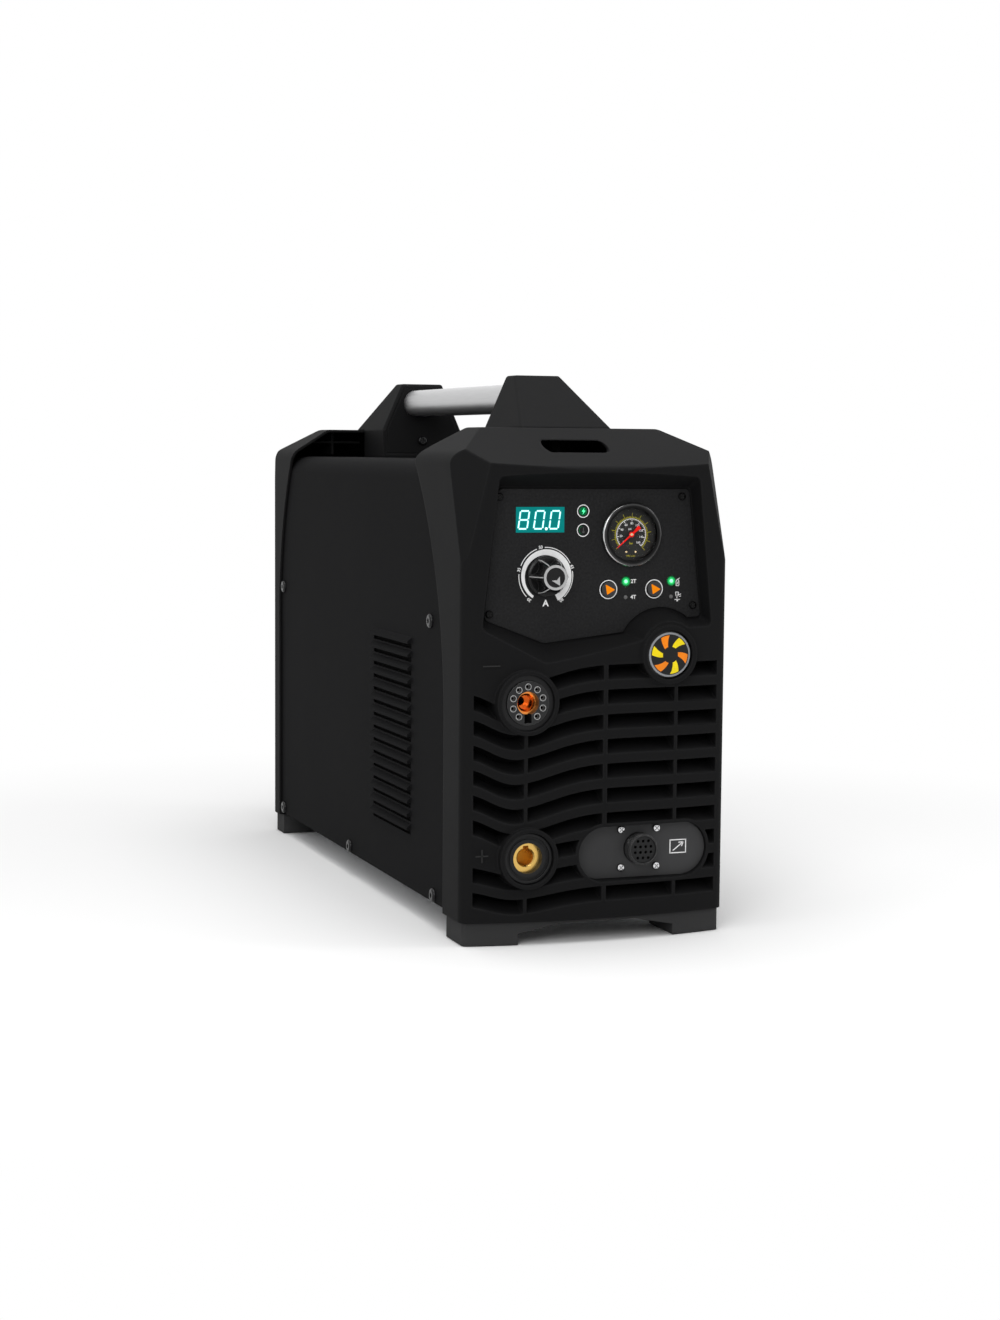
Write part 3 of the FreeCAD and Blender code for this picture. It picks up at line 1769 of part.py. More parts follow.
def transformer_winding():
    leg = core_width / 6
    y_start = core_middle - core_length / 2
    y_end = core_middle + core_length / 2
    low = base_top + leg + fit_gap
    high = base_top + core_height - leg - fit_gap
    outer = block(20 - 2 * leg + fit_gap, 20 + 2 * leg - fit_gap, y_start, y_end, low, high)
    inner = block(20 - leg, 20 + leg, y_start + 12, y_end - 12, low - 1, high + 1)
    return outer.cut(inner)


def output_choke():
    centre = point(torch_x, core_middle + 8, base_top)
    outer = Part.makeCylinder(choke_outer, choke_height, centre)
    return outer.cut(Part.makeCylinder(choke_inner, choke_height + 2, centre - point(0, 0, 1)))


def solenoid_valve():
    half = valve_size / 2
    body = block(valve_x - half, valve_x + half, valve_y - half, valve_y + half, base_top, valve_top)
    side = half - 4
    end = valve_y + half
    coil = block(valve_x - side, valve_x + side, end, end + valve_coil, base_top + 6, valve_top - 8)
    return joined([body, coil])


# A hose from a socket or the regulator that runs along Y, bends and drops into the valve
def hose(x, z, y_start):
    turn = hose_bend if y_start < valve_y else -hose_bend
    bend = math.sqrt(0.5)
    start = point(x, y_start, z)
    leave = point(x, valve_y - turn, z)
    middle = point(x, valve_y - turn + turn * bend, z - hose_bend * (1 - bend))
    drop = point(x, valve_y, z - hose_bend)
    end = point(x, valve_y, valve_top)
    route = Part.Wire([
        Part.LineSegment(start, leave).toShape(),
        Part.Arc(leave, middle, drop).toShape(),
        Part.LineSegment(drop, end).toShape(),
    ])
    along = leave - start
    rim = Part.Wire(Part.makeCircle(hose_radius, start, along))
    bore = Part.Wire(Part.makeCircle(hose_bore, start, along))
    return route.makePipeShell([rim], True, False).cut(route.makePipeShell([bore], True, False))


def air_hoses():
    from_torch = hose(torch_x, torch_z, torch_end + torch_hose_gap)
    from_regulator = hose(regulator_x, regulator_z, rear_sheet_face - regulator_depth)
    return Part.makeCompound([from_torch, from_regulator])


pieces = {
    "base_plate": base_plate,
    "chassis_posts": chassis_posts,
    "outer_cover": outer_cover,
    "cover_screws": cover_screws,
    "front_bezel": front_bezel,
    "rear_bezel": rear_bezel,
    "front_foot_bar": lambda: foot_bar(front_foot_depth),
    "rear_foot_bar": lambda: front_to_back(foot_bar(rear_foot_depth)),
    "front_tower": lambda: tower(front_tower_face, front_rim),
    "rear_tower": lambda: front_to_back(tower(rear_tower_face, rear_rim)),
    "tower_plates": tower_plates,
    "tower_screws": tower_screws,
    "handle_bar": handle_bar,
    "front_panel_sheet": front_panel_sheet,
    "rear_panel_sheet": rear_panel_sheet,
    "control_panel": control_panel,
    "small_screws": small_screws,
    "display_window": display_window,
    "indicator_lenses": indicator_lenses,
    "led_lenses": led_lenses,
    "control_board": control_board,
    "encoder_body": encoder_body,
    "trigger_button": lambda: push_button(*button_places()[0]),
    "mode_button": lambda: push_button(*button_places()[1]),
    "current_knob": current_knob,
    "knob_cap": knob_cap,
    "knob_shaft": knob_shaft,
    "gauge_case": gauge_case,
    "gauge_ring": gauge_ring,
    "gauge_dial": gauge_dial,
    "gauge_lens": gauge_lens,
    "gauge_needle": gauge_needle,
    "badge_dome": badge_dome,
    "torch_socket_housing": torch_socket_housing,
    "torch_socket_insert": torch_socket_insert,
    "torch_socket_contact": torch_socket_contact,
    "torch_socket_pins": torch_socket_pins,
    "earth_socket_body": earth_socket_body,
    "earth_socket_insert": earth_socket_insert,
    "interface_plate": interface_plate,
    "interface_socket_shell": interface_socket_shell,
    "interface_socket_insert": interface_socket_insert,
    "fan_frame": fan_frame,
    "fan_rotor": fan_rotor,
    "fan_guard": fan_guard,
    "mains_switch_body": mains_switch_body,
    "mains_switch_knob": mains_switch_knob,
    "cable_gland": cable_gland,
    "air_regulator_body": air_regulator_body,
    "regulator_stem": regulator_stem,
    "regulator_knob": regulator_knob,
    "air_inlet_fitting": air_inlet_fitting,
    "heatsink": heatsink,
    "inverter_board": inverter_board,
    "bus_capacitors": bus_capacitors,
    "transformer_core": transformer_core,
    "transformer_winding": transformer_winding,
    "output_choke": output_choke,
    "solenoid_valve": solenoid_valve,
    "air_hoses": air_hoses,
}

os.makedirs("parts", exist_ok=True)
for name, make in pieces.items():
    export(name, make())
print(len(pieces), "pieces")
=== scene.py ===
import bpy
import bmesh
import math
from mathutils import Euler, Matrix, Vector


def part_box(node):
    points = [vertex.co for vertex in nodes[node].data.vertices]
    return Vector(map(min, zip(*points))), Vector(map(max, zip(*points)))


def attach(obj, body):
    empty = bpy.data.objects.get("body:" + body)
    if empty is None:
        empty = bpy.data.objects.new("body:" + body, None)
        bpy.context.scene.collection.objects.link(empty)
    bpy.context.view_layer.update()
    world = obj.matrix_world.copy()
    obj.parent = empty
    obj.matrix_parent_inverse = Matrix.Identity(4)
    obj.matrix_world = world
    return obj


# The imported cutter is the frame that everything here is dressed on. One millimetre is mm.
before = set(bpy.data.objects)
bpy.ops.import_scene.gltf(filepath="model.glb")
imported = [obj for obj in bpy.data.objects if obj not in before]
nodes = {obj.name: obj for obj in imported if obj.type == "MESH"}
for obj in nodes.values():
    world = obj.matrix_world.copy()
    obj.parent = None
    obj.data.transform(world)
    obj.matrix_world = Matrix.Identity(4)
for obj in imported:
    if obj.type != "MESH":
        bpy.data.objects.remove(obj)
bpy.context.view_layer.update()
mm = 0.001

# The camera stands ahead of the unit and to its left, a little above its middle, as a product
# photographer would, with a short telephoto lens on an upright frame.
camera_place = Vector((-671.4, -1935.6, 380.3)) * mm
camera_yaw = math.radians(19.78)
camera_down = math.radians(5.24)
camera_roll = math.radians(0.47)
camera_data = bpy.data.cameras.new("camera")
camera_data.lens = 63.02
camera_data.sensor_width = 36.0
camera_data.clip_start = 0.05
camera = bpy.data.objects.new("camera", camera_data)
bpy.context.scene.collection.objects.link(camera)
turn = Euler((math.pi / 2 - camera_down, 0, -camera_yaw), "XYZ").to_matrix()
rolled = turn @ Matrix.Rotation(camera_roll, 3, "Z")
camera.matrix_world = Matrix.Translation(camera_place) @ rolled.to_4x4()
bpy.context.scene.camera = camera
bpy.context.scene.view_settings.view_transform = "Standard"

# A white paper sweep: a flat floor that is plain white to the camera away from the unit, and
# takes its soft shadow close by. The surround is white wherever it is seen or mirrored.
floor_half = 6.0
shadow_start = 0.35
shadow_reach = 0.55
floor_mesh = bpy.data.meshes.new("floor")
floor_corners = [(x * floor_half, y * floor_half, 0) for x, y in ((-1, -1), (1, -1), (1, 1), (-1, 1))]
floor_mesh.from_pydata(floor_corners, [], [(0, 1, 2, 3)])
floor = bpy.data.objects.new("floor", floor_mesh)
floor.location.z = -0.0005
bpy.context.scene.collection.objects.link(floor)


def plain_material(name):
    material = bpy.data.materials.new(name)
    material.use_nodes = True
    tree = material.node_tree
    return material, tree, tree.nodes["Principled BSDF"]


paper, tree, matt = plain_material("paper_sweep")
surface = tree.nodes["Material Output"]
matt.inputs["Base Color"].default_value = (0.9, 0.9, 0.9, 1)
matt.inputs["Roughness"].default_value = 0.9
matt.inputs["Specular IOR Level"].default_value = 0.0
bright = tree.nodes.new("ShaderNodeEmission")
bright.inputs["Color"].default_value = (1, 1, 1, 1)
place = tree.nodes.new("ShaderNodeTexCoord")
away = tree.nodes.new("ShaderNodeVectorMath")
away.operation = "LENGTH"
fade = tree.nodes.new("ShaderNodeMapRange")
fade.interpolation_type = "SMOOTHSTEP"
fade.inputs["From Min"].default_value = shadow_start
fade.inputs["From Max"].default_value = shadow_start + shadow_reach
rays = tree.nodes.new("ShaderNodeLightPath")
seen = tree.nodes.new("ShaderNodeMath")
seen.operation = "MAXIMUM"
seen_far = tree.nodes.new("ShaderNodeMath")
seen_far.operation = "MULTIPLY"
choose = tree.nodes.new("ShaderNodeMixShader")
tree.links.new(place.outputs["Object"], away.inputs[0])
tree.links.new(away.outputs["Value"], fade.inputs["Value"])
tree.links.new(rays.outputs["Is Camera Ray"], seen.inputs[0])
tree.links.new(rays.outputs["Is Glossy Ray"], seen.inputs[1])
tree.links.new(seen.outputs[0], seen_far.inputs[0])
tree.links.new(fade.outputs["Result"], seen_far.inputs[1])
tree.links.new(seen_far.outputs[0], choose.inputs["Fac"])
tree.links.new(matt.outputs[0], choose.inputs[1])
tree.links.new(bright.outputs[0], choose.inputs[2])
tree.links.new(choose.outputs[0], surface.inputs["Surface"])
floor_mesh.materials.append(paper)

world = bpy.data.worlds.new("studio")
bpy.context.scene.world = world
world.use_nodes = True
tree = world.node_tree
ambient = tree.nodes["Background"]
ambient.inputs["Color"].default_value = (1, 1, 1, 1)
ambient.inputs["Strength"].default_value = 0.38
backdrop = tree.nodes.new("ShaderNodeBackground")
backdrop.inputs["Color"].default_value = (1, 1, 1, 1)
backdrop.inputs["Strength"].default_value = 1.0
rays = tree.nodes.new("ShaderNodeLightPath")
clear = tree.nodes.new("ShaderNodeMath")
clear.operation = "MAXIMUM"
shown = tree.nodes.new("ShaderNodeMath")
shown.operation = "MAXIMUM"
choose = tree.nodes.new("ShaderNodeMixShader")
tree.links.new(rays.outputs["Is Camera Ray"], clear.inputs[0])
tree.links.new(rays.outputs["Is Transmission Ray"], clear.inputs[1])
tree.links.new(clear.outputs[0], shown.inputs[0])
tree.links.new(rays.outputs["Is Glossy Ray"], shown.inputs[1])
tree.links.new(shown.outputs[0], choose.inputs["Fac"])
tree.links.new(ambient.outputs[0], choose.inputs[1])
tree.links.new(backdrop.outputs[0], choose.inputs[2])
tree.links.new(choose.outputs[0], tree.nodes["World Output"].inputs["Surface"])


# Three soft boxes: a large one overhead that draws the top edges, one ahead and to the left that
# fills the front, and a narrow one at the right. Each is aimed at the middle of the unit.
unit_middle = Vector((0, 0, 0.2))


def soft_box(name, where, size, watts):
    light = bpy.data.lights.new(name, "AREA")
    light.shape = "RECTANGLE"
    light.size, light.size_y = size
    light.energy = watts
    lamp = bpy.data.objects.new(name, light)
    lamp.location = where
    aim = unit_middle - lamp.location
    lamp.rotation_euler = aim.to_track_quat("-Z", "Y").to_euler()
    bpy.context.scene.collection.objects.link(lamp)


soft_box("overhead_box", Vector((-0.2, -0.3, 2.2)), (1.8, 2.2), 40)
soft_box("front_box", Vector((-1.3, -2.2, 1.3)), (1.2, 1.2), 22)
soft_box("right_box", Vector((1.9, -1.0, 0.9)), (0.5, 1.6), 8)


# The steel cover and the rear sheet: folded sheet with a fine black powder coat, a little lighter
# on edges and louvre lips, partly rubbed wear and partly a painted highlight. The grain group is
# shared by all coated surfaces.
def fine_grain_group():
    group = bpy.data.node_groups.new("fine_grain", "ShaderNodeTree")
    group.interface.new_socket("Grain Size", in_out="INPUT", socket_type="NodeSocketFloat")
    group.interface.new_socket("Patch Size", in_out="INPUT", socket_type="NodeSocketFloat")
    group.interface.new_socket("Grain", in_out="OUTPUT", socket_type="NodeSocketFloat")
    group.interface.new_socket("Patches", in_out="OUTPUT", socket_type="NodeSocketFloat")
    given = group.nodes.new("NodeGroupInput")
    made = group.nodes.new("NodeGroupOutput")
    where = group.nodes.new("ShaderNodeTexCoord")
    fine = group.nodes.new("ShaderNodeTexNoise")
    fine.inputs["Detail"].default_value = 3.0
    fine.inputs["Roughness"].default_value = 0.6
    wide = group.nodes.new("ShaderNodeTexNoise")
    wide.inputs["Detail"].default_value = 4.0
    group.links.new(where.outputs["Object"], fine.inputs["Vector"])
    group.links.new(where.outputs["Object"], wide.inputs["Vector"])
    group.links.new(given.outputs["Grain Size"], fine.inputs["Scale"])
    group.links.new(given.outputs["Patch Size"], wide.inputs["Scale"])
    group.links.new(fine.outputs["Fac"], made.inputs["Grain"])
    group.links.new(wide.outputs["Fac"], made.inputs["Patches"])
    return group


# An edge lies where the rounded normal turns away from the flat one. There the colour is lightened,
# partly for wear and partly as a painted highlight.
def edge_wear_and_highlight_group():
    group = bpy.data.node_groups.new("edge_wear_and_highlight", "ShaderNodeTree")
    group.interface.new_socket("Radius", in_out="INPUT", socket_type="NodeSocketFloat")
    group.interface.new_socket("Normal", in_out="OUTPUT", socket_type="NodeSocketVector")
    group.interface.new_socket("Edge", in_out="OUTPUT", socket_type="NodeSocketFloat")
    given = group.nodes.new("NodeGroupInput")
    made = group.nodes.new("NodeGroupOutput")
    rounded = group.nodes.new("ShaderNodeBevel")
    rounded.samples = 4
    plain = group.nodes.new("ShaderNodeNewGeometry")
    dot = group.nodes.new("ShaderNodeVectorMath")
    dot.operation = "DOT_PRODUCT"
    sharp = group.nodes.new("ShaderNodeMapRange")
    sharp.inputs["From Min"].default_value = 0.995
    sharp.inputs["From Max"].default_value = 0.85
    group.links.new(given.outputs["Radius"], rounded.inputs["Radius"])
    group.links.new(rounded.outputs["Normal"], dot.inputs[0])
    group.links.new(plain.outputs["Normal"], dot.inputs[1])
    group.links.new(dot.outputs["Value"], sharp.inputs["Value"])
    group.links.new(rounded.outputs["Normal"], made.inputs["Normal"])
    group.links.new(sharp.outputs["Result"], made.inputs["Edge"])
    return group


fine_grain = fine_grain_group()
edge_wear_and_highlight = edge_wear_and_highlight_group()


def grained(tree, grain_size, patch_size):
    grain = tree.nodes.new("ShaderNodeGroup")
    grain.node_tree = fine_grain
    grain.inputs["Grain Size"].default_value = grain_size
    grain.inputs["Patch Size"].default_value = patch_size
    return grain.outputs["Grain"], grain.outputs["Patches"]


# A mask mixes two colours. Each is a colour, or the output of another node
def mixed(tree, mask, first, second):
    mix = tree.nodes.new("ShaderNodeMix")
    mix.data_type = "RGBA"
    tree.links.new(mask, mix.inputs["Factor"])
    for socket, colour in (("A", first), ("B", second)):
        if isinstance(colour, bpy.types.NodeSocket):
            tree.links.new(colour, mix.inputs[socket])
        else:
            mix.inputs[socket].default_value = list(colour) + [1]
    return mix.outputs["Result"]


# A darker and a lighter shade of one colour, for the ends of a mix
def shades(colour, darker, lighter):
    return [c * darker for c in colour], [min(1, c * lighter) for c in colour]


# A value, such as a roughness, that wanders with a mask between two ends
def wander(tree, mask, least, most, socket):
    spread = tree.nodes.new("ShaderNodeMapRange")
    spread.inputs["To Min"].default_value = least
    spread.inputs["To Max"].default_value = most
    tree.links.new(mask, spread.inputs["Value"])
    tree.links.new(spread.outputs["Result"], socket)


def bumped(tree, height, strength, depth, socket):
    bump = tree.nodes.new("ShaderNodeBump")
    bump.inputs["Strength"].default_value = strength
    bump.inputs["Distance"].default_value = depth
    tree.links.new(height, bump.inputs["Height"])
    tree.links.new(bump.outputs["Normal"], socket)
    return bump


# Coats differ in roughness over wide patches, and those of strong variety show it in their grain
coat_patch = 9.0
coat_spread = 0.05
grainy = 0.3


# A coat on metal or plastic: colour, roughness, grain, and a lighter colour on edges that is partly
# wear and partly a painted highlight
def coated(
    name, colour, roughness, grain_size, grain_depth, specular, edge_radius, edge_wear_and_highlight_colour,
    metallic=0.0, variety=0.14,
):
    material, tree, shader = plain_material(name)
    shader.inputs["Metallic"].default_value = metallic
    shader.inputs["Specular IOR Level"].default_value = specular
    grain, patches = grained(tree, grain_size, coat_patch)
    edge = tree.nodes.new("ShaderNodeGroup")
    edge.node_tree = edge_wear_and_highlight
    edge.inputs["Radius"].default_value = edge_radius
    bump = bumped(tree, grain, 0.5, grain_depth, shader.inputs["Normal"])
    tree.links.new(edge.outputs["Normal"], bump.inputs["Normal"])
    mottle = grain if variety > grainy else patches
    coat = mixed(tree, mottle, *shades(colour, 1 - variety, 1 + variety))
    share = tree.nodes.new("ShaderNodeMath")
    share.operation = "MULTIPLY"
    tree.links.new(edge.outputs["Edge"], share.inputs[0])
    tree.links.new(grain, share.inputs[1])
    tree.links.new(mixed(tree, share.outputs[0], coat, edge_wear_and_highlight_colour), shader.inputs["Base Color"])
    wander(tree, patches, roughness - coat_spread, roughness + coat_spread, shader.inputs["Roughness"])
    return material


def finish_with(material, *names):
    for name in names:
        mesh = nodes[name].data
        mesh.materials.clear()
        mesh.materials.append(material)


powder_coat = coated(
    "powder_coat", (0.0078, 0.0078, 0.0082), 0.72, 2600, 0.00006, 0.02, 0.0005, (0.03, 0.03, 0.031),
)
finish_with(powder_coat, "outer_cover", "rear_panel_sheet", "front_panel_sheet")


# The two bezels, the handle towers and their plates: moulded plastic, black, with a fine spark
# texture and soft edges that catch the light, and a lighter edge colour, partly wear and partly
# painted highlight.
moulded_black = coated(
    "moulded_black", (0.0068, 0.0068, 0.0071), 0.66, 1800, 0.0001, 0.055, 0.0024, (0.02, 0.02, 0.0205),
)
finish_with(moulded_black, "front_bezel", "rear_bezel", "front_tower", "rear_tower", "tower_plates")


# The interface plate is a smooth insert in a lighter dark grey, and the feet are a softer, more
# dusty grade of the same plastic.
insert_grey = coated(
    "insert_grey", (0.042, 0.042, 0.043), 0.5, 1500, 0.00004, 0.12, 0.0006, (0.07, 0.07, 0.07),
)
finish_with(insert_grey, "interface_plate")
foot_plastic = coated(
    "foot_plastic", (0.034, 0.034, 0.0345), 0.72, 1300, 0.0001, 0.06, 0.0012, (0.05, 0.05, 0.05),
)
finish_with(foot_plastic, "front_foot_bar", "rear_foot_bar")


# The carry bar: an extruded aluminium oval, brushed along its length and clear anodised.
def brushed(name, colour, roughness, stretch, along):
    material, tree, shader = plain_material(name)
    shader.inputs["Metallic"].default_value = 1.0
    where = tree.nodes.new("ShaderNodeTexCoord")
    stretched = tree.nodes.new("ShaderNodeMapping")
    scales = [stretch] * 3
    scales[along] = stretch / 60
    stretched.inputs["Scale"].default_value = scales
    lines = tree.nodes.new("ShaderNodeTexNoise")
    lines.inputs["Scale"].default_value = 1.0
    lines.inputs["Detail"].default_value = 5.0
    tree.links.new(where.outputs["Object"], stretched.inputs["Vector"])
    tree.links.new(stretched.outputs["Vector"], lines.inputs["Vector"])
    mask = lines.outputs["Fac"]
    tree.links.new(mixed(tree, mask, *shades(colour, 0.82, 1.12)), shader.inputs["Base Color"])
    wander(tree, mask, roughness - 0.08, roughness + 0.1, shader.inputs["Roughness"])
    bumped(tree, mask, 0.35, 0.00004, shader.inputs["Normal"])
    return material


bar_aluminium = brushed("bar_aluminium", (0.56, 0.56, 0.565), 0.42, 2600, 1)
finish_with(bar_aluminium, "handle_bar")


# All screws of the case and the handle are black oxide steel, dark and a little oily.
screw_black = coated(
    "screw_black", (0.006, 0.006, 0.0065), 0.22, 2200, 0.00003, 0.22, 0.0006, (0.05, 0.05, 0.05),
)
finish_with(screw_black, "cover_screws", "tower_screws", "small_screws")


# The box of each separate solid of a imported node, from the corners of its mesh
def solid_boxes(node):
    shape = bmesh.new()
    shape.from_mesh(nodes[node].data)
    bmesh.ops.remove_doubles(shape, verts=shape.verts, dist=1e-6)
    left = set(shape.verts)
    boxes = []
    while left:
        seed = left.pop()
        group = [seed]
        for vert in group:
            for edge in vert.link_edges:
                other = edge.other_vert(vert)
                if other in left:
                    left.discard(other)
                    group.append(other)
        low = [min(vert.co[axis] for vert in group) for axis in range(3)]
        high = [max(vert.co[axis] for vert in group) for axis in range(3)]
        boxes.append((Vector(low), Vector(high)))
    shape.free()
    return boxes


# The control panel is a flat aluminium plate in a grained black film. All print on it is a thin
# layer of ink that stands a hair proud.
panel_film = coated(
    "panel_film", (0.0125, 0.0125, 0.013), 0.6, 560, 0.0008, 0.09, 0.0006, (0.04, 0.04, 0.04),
    variety=0.75,
)
finish_with(panel_film, "control_panel")
panel_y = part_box("control_panel")[0].y
ink_layer = 0.06 * mm


def ink(name, colour, roughness=0.5):
    material, tree, shader = plain_material(name)
    shader.inputs["Specular IOR Level"].default_value = 0.1
    grain, patches = grained(tree, 1500, 300)
    tree.links.new(mixed(tree, patches, *shades(colour, 0.84, 1.06)), shader.inputs["Base Color"])
    wander(tree, grain, roughness - 0.1, roughness + 0.1, shader.inputs["Roughness"])
    return material


white_ink = ink("white_ink", (0.86, 0.86, 0.86))


# A finished shape becomes a mesh, and its piece rides on the body that carries it
def closed_mesh(name, shape, material):
    mesh = bpy.data.meshes.new(name)
    shape.to_mesh(mesh)
    shape.free()
    mesh.materials.append(material)
    return mesh


def fitted(name, data, body):
    piece = bpy.data.objects.new(name, data)
    bpy.context.scene.collection.objects.link(piece)
    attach(piece, body)
    return piece


# Each outline is a ring of (x, z) corners. It becomes a closed plate whose back lies at y.
def printed(name, outlines, y, material, body="case", layer=ink_layer):
    shape = bmesh.new()
    for outline in outlines:
        count = len(outline)
        back = [shape.verts.new((x, y, z)) for x, z in outline]
        front = [shape.verts.new((x, y - layer, z)) for x, z in outline]
        shape.faces.new(front)
        shape.faces.new(back[::-1])
        for index in range(count):
            ahead = (index + 1) % count
            shape.faces.new((back[index], back[ahead], front[ahead], front[index]))
    bmesh.ops.recalc_face_normals(shape, faces=shape.faces)
    return fitted(name, closed_mesh(name, shape, material), body)


# A band round (x, z) from one angle to another, in degrees, with its radii at each end
def band(x, z, start, end, inner, outer):
    steps = max(6, int(abs(end - start) / 4))
    outside = []
    inside = []
    for step in range(steps + 1):
        share = step / steps
        angle = math.radians(start + (end - start) * share)
        far = outer[0] + (outer[1] - outer[0]) * share
        near = inner[0] + (inner[1] - inner[0]) * share
        outside.append((x + far * math.cos(angle), z + far * math.sin(angle)))
        inside.append((x + near * math.cos(angle), z + near * math.sin(angle)))
    return outside + inside[::-1]


def circle_line(x, z, radius, width):
    radii = ((radius - width / 2,) * 2, (radius + width / 2,) * 2)
    return [band(x, z, 0, 180, *radii), band(x, z, 180, 360, *radii)]


def stroke(x1, z1, x2, z2, width):
    along = Vector((x2 - x1, z2 - z1)).normalized()
    side = Vector((-along.y, along.x)) * width / 2
    return [
        (x1 - side.x, z1 - side.y),
        (x2 - side.x, z2 - side.y),
        (x2 + side.x, z2 + side.y),
        (x1 + side.x, z1 + side.y),
    ]


# Capitals of the lettering stand this share of its size
capital_share = 0.7


def lettering(name, words, x, z, height, y, material, spin=0.0, bold=0.0):
    text = bpy.data.curves.new(name, "FONT")
    text.body = words
    text.size = height / capital_share
    text.align_x = "CENTER"
    text.align_y = "CENTER"
    text.offset = bold
    text.extrude = ink_layer
    text.resolution_u = 3
    text.materials.append(material)
    piece = bpy.data.objects.new(name, text)
    piece.location = (x, y, z)
    piece.rotation_euler = Euler((math.pi / 2, spin, 0), "XYZ")
    bpy.context.scene.collection.objects.link(piece)
    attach(piece, "case")


# The current display: a teal filter window with three slanted digits of seven lit bars each.
def lit(name, colour, glow, strength):
    material, tree, shader = plain_material(name)
    shader.inputs["Roughness"].default_value = 0.25
    shader.inputs["Specular IOR Level"].default_value = 0.06
    patches = grained(tree, 900, 260)[1]
    tree.links.new(mixed(tree, patches, *shades(colour, 0.86, 1.1)), shader.inputs["Base Color"])
    tree.links.new(mixed(tree, patches, *shades(glow, 0.88, 1.0)), shader.inputs["Emission Color"])
    shader.inputs["Emission Strength"].default_value = strength
    return material


display_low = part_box("display_window")[0]
display_teal = lit("display_teal", (0.0, 0.03, 0.03), (0.0, 0.215, 0.205), 0.95)
finish_with(display_teal, "display_window")
digit_glow = lit("digit_glow", (0.6, 0.9, 0.9), (0.72, 0.98, 0.97), 1.0)
digit_height = 13.6 * mm
digit_width = 7.2 * mm
digit_bar = 0.88 * mm
digit_lean = 0.14
bar_gap = 0.62
digit_base = display_low.z + 2.9 * mm
digit_starts = [display_low.x + share * mm for share in (1.7, 14.3, 27.0)]


def digit_bars(left, bottom, bars, width=digit_bar):
    half = digit_height / 2
    inset = digit_bar * bar_gap
    ends = {
        "top": ((inset, digit_height), (digit_width - inset, digit_height)),
        "middle": ((inset, half), (digit_width - inset, half)),
        "bottom": ((inset, 0), (digit_width - inset, 0)),
        "upper_left": ((0, half + inset), (0, digit_height - inset)),
        "upper_right": ((digit_width, half + inset), (digit_width, digit_height - inset)),
        "lower_left": ((0, inset), (0, half - inset)),
        "lower_right": ((digit_width, inset), (digit_width, half - inset)),
    }
    outlines = []
    for bar in bars:
        (x1, z1), (x2, z2) = ends[bar]
        corners = stroke(x1, z1, x2, z2, width)
        outlines.append([(left + x + digit_lean * z, bottom + z) for x, z in corners])
    return outlines


all_bars = ["top", "middle", "bottom", "upper_left", "upper_right", "lower_left", "lower_right"]
zero_bars = [bar for bar in all_bars if bar != "middle"]
digits = []
glow_bars = []
for start, bars in zip(digit_starts, (all_bars, zero_bars, zero_bars)):
    digits += digit_bars(start, digit_base, bars)
    glow_bars += digit_bars(start, digit_base, bars, digit_bar + 0.75 * mm)
point_x = digit_starts[2] - 2.4 * mm
digits += circle_line(point_x, digit_base, 0.55 * mm, 1.09 * mm)
printed("display_digits", digits, display_low.y, digit_glow)
glow_edge = lit("glow_edge", (0.02, 0.4, 0.4), (0.10, 0.62, 0.60), 0.8)
printed("display_glow", glow_bars, display_low.y, glow_edge, layer=0.03 * mm)


# Two lamps beside it, each in a white printed ring: the upper shows a lit green flash for mains
# on, the lower an unlit thermometer for over-temperature.
lamp_low, lamp_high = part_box("indicator_lenses")
lamp_x = (lamp_low.x + lamp_high.x) / 2
lamp_half = (lamp_high.x - lamp_low.x) / 2
lamp_tops = (lamp_high.z - lamp_half, lamp_low.z + lamp_half)
lamp_face = lamp_low.y
# Both lenses share one faint green glow; on the unlit lower lamp it is painted light.
smoked_green = lit("smoked_green", (0.0, 0.03, 0.01), (0.0, 0.15, 0.045), 0.8)
finish_with(smoked_green, "indicator_lenses")
rings = []
for z in lamp_tops:
    rings += circle_line(lamp_x, z, 4.75 * mm, 0.65 * mm)
printed("lamp_rings", rings, panel_y, white_ink)
flash_glow = lit("flash_glow", (0.1, 0.9, 0.35), (0.08, 0.95, 0.38), 1.0)
flash = [(0.5, 2.5), (-1.5, -0.3), (-0.2, -0.3), (-0.7, -2.5), (1.5, 0.5), (0.2, 0.5)]
printed(
    "mains_flash", [[(lamp_x + x * mm, lamp_tops[0] + z * mm) for x, z in flash]], lamp_face,
    flash_glow,
)
dim_ink = ink("dim_ink", (0.09, 0.09, 0.09))
unlit_disc = ink("unlit_disc", (0.012, 0.012, 0.012))
printed(
    "heat_disc", circle_line(lamp_x, lamp_tops[1], 1.6 * mm, 3.19 * mm), lamp_face, unlit_disc,
    layer=0.04 * mm,
)
bulb = circle_line(lamp_x, lamp_tops[1] - 1.3 * mm, 0.45 * mm, 0.89 * mm)
stem = [stroke(lamp_x, lamp_tops[1] - 1.2 * mm, lamp_x, lamp_tops[1] + 2.1 * mm, 0.6 * mm)]
printed("heat_mark", bulb + stem, lamp_face, dim_ink, layer=0.09 * mm)


# Four small diodes beside the keys: the upper two are lit green with a soft spill of light on the
# film round them, and the lower two are off, their lenses with a faint painted grey glow.
led_box_low, led_box_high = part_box("led_lenses")
led_radius = 1.5 * mm
led_xs = (led_box_low.x + led_radius, led_box_high.x - led_radius)
led_zs = (led_box_high.z - led_radius, led_box_low.z + led_radius)
led_off_painted_glow = lit("led_off_painted_glow", (0.11, 0.11, 0.11), (0.1, 0.1, 0.1), 0.25)
finish_with(led_off_painted_glow, "led_lenses")
led_glow = lit("led_glow", (0.3, 1.0, 0.5), (0.30, 1.0, 0.52), 1.0)


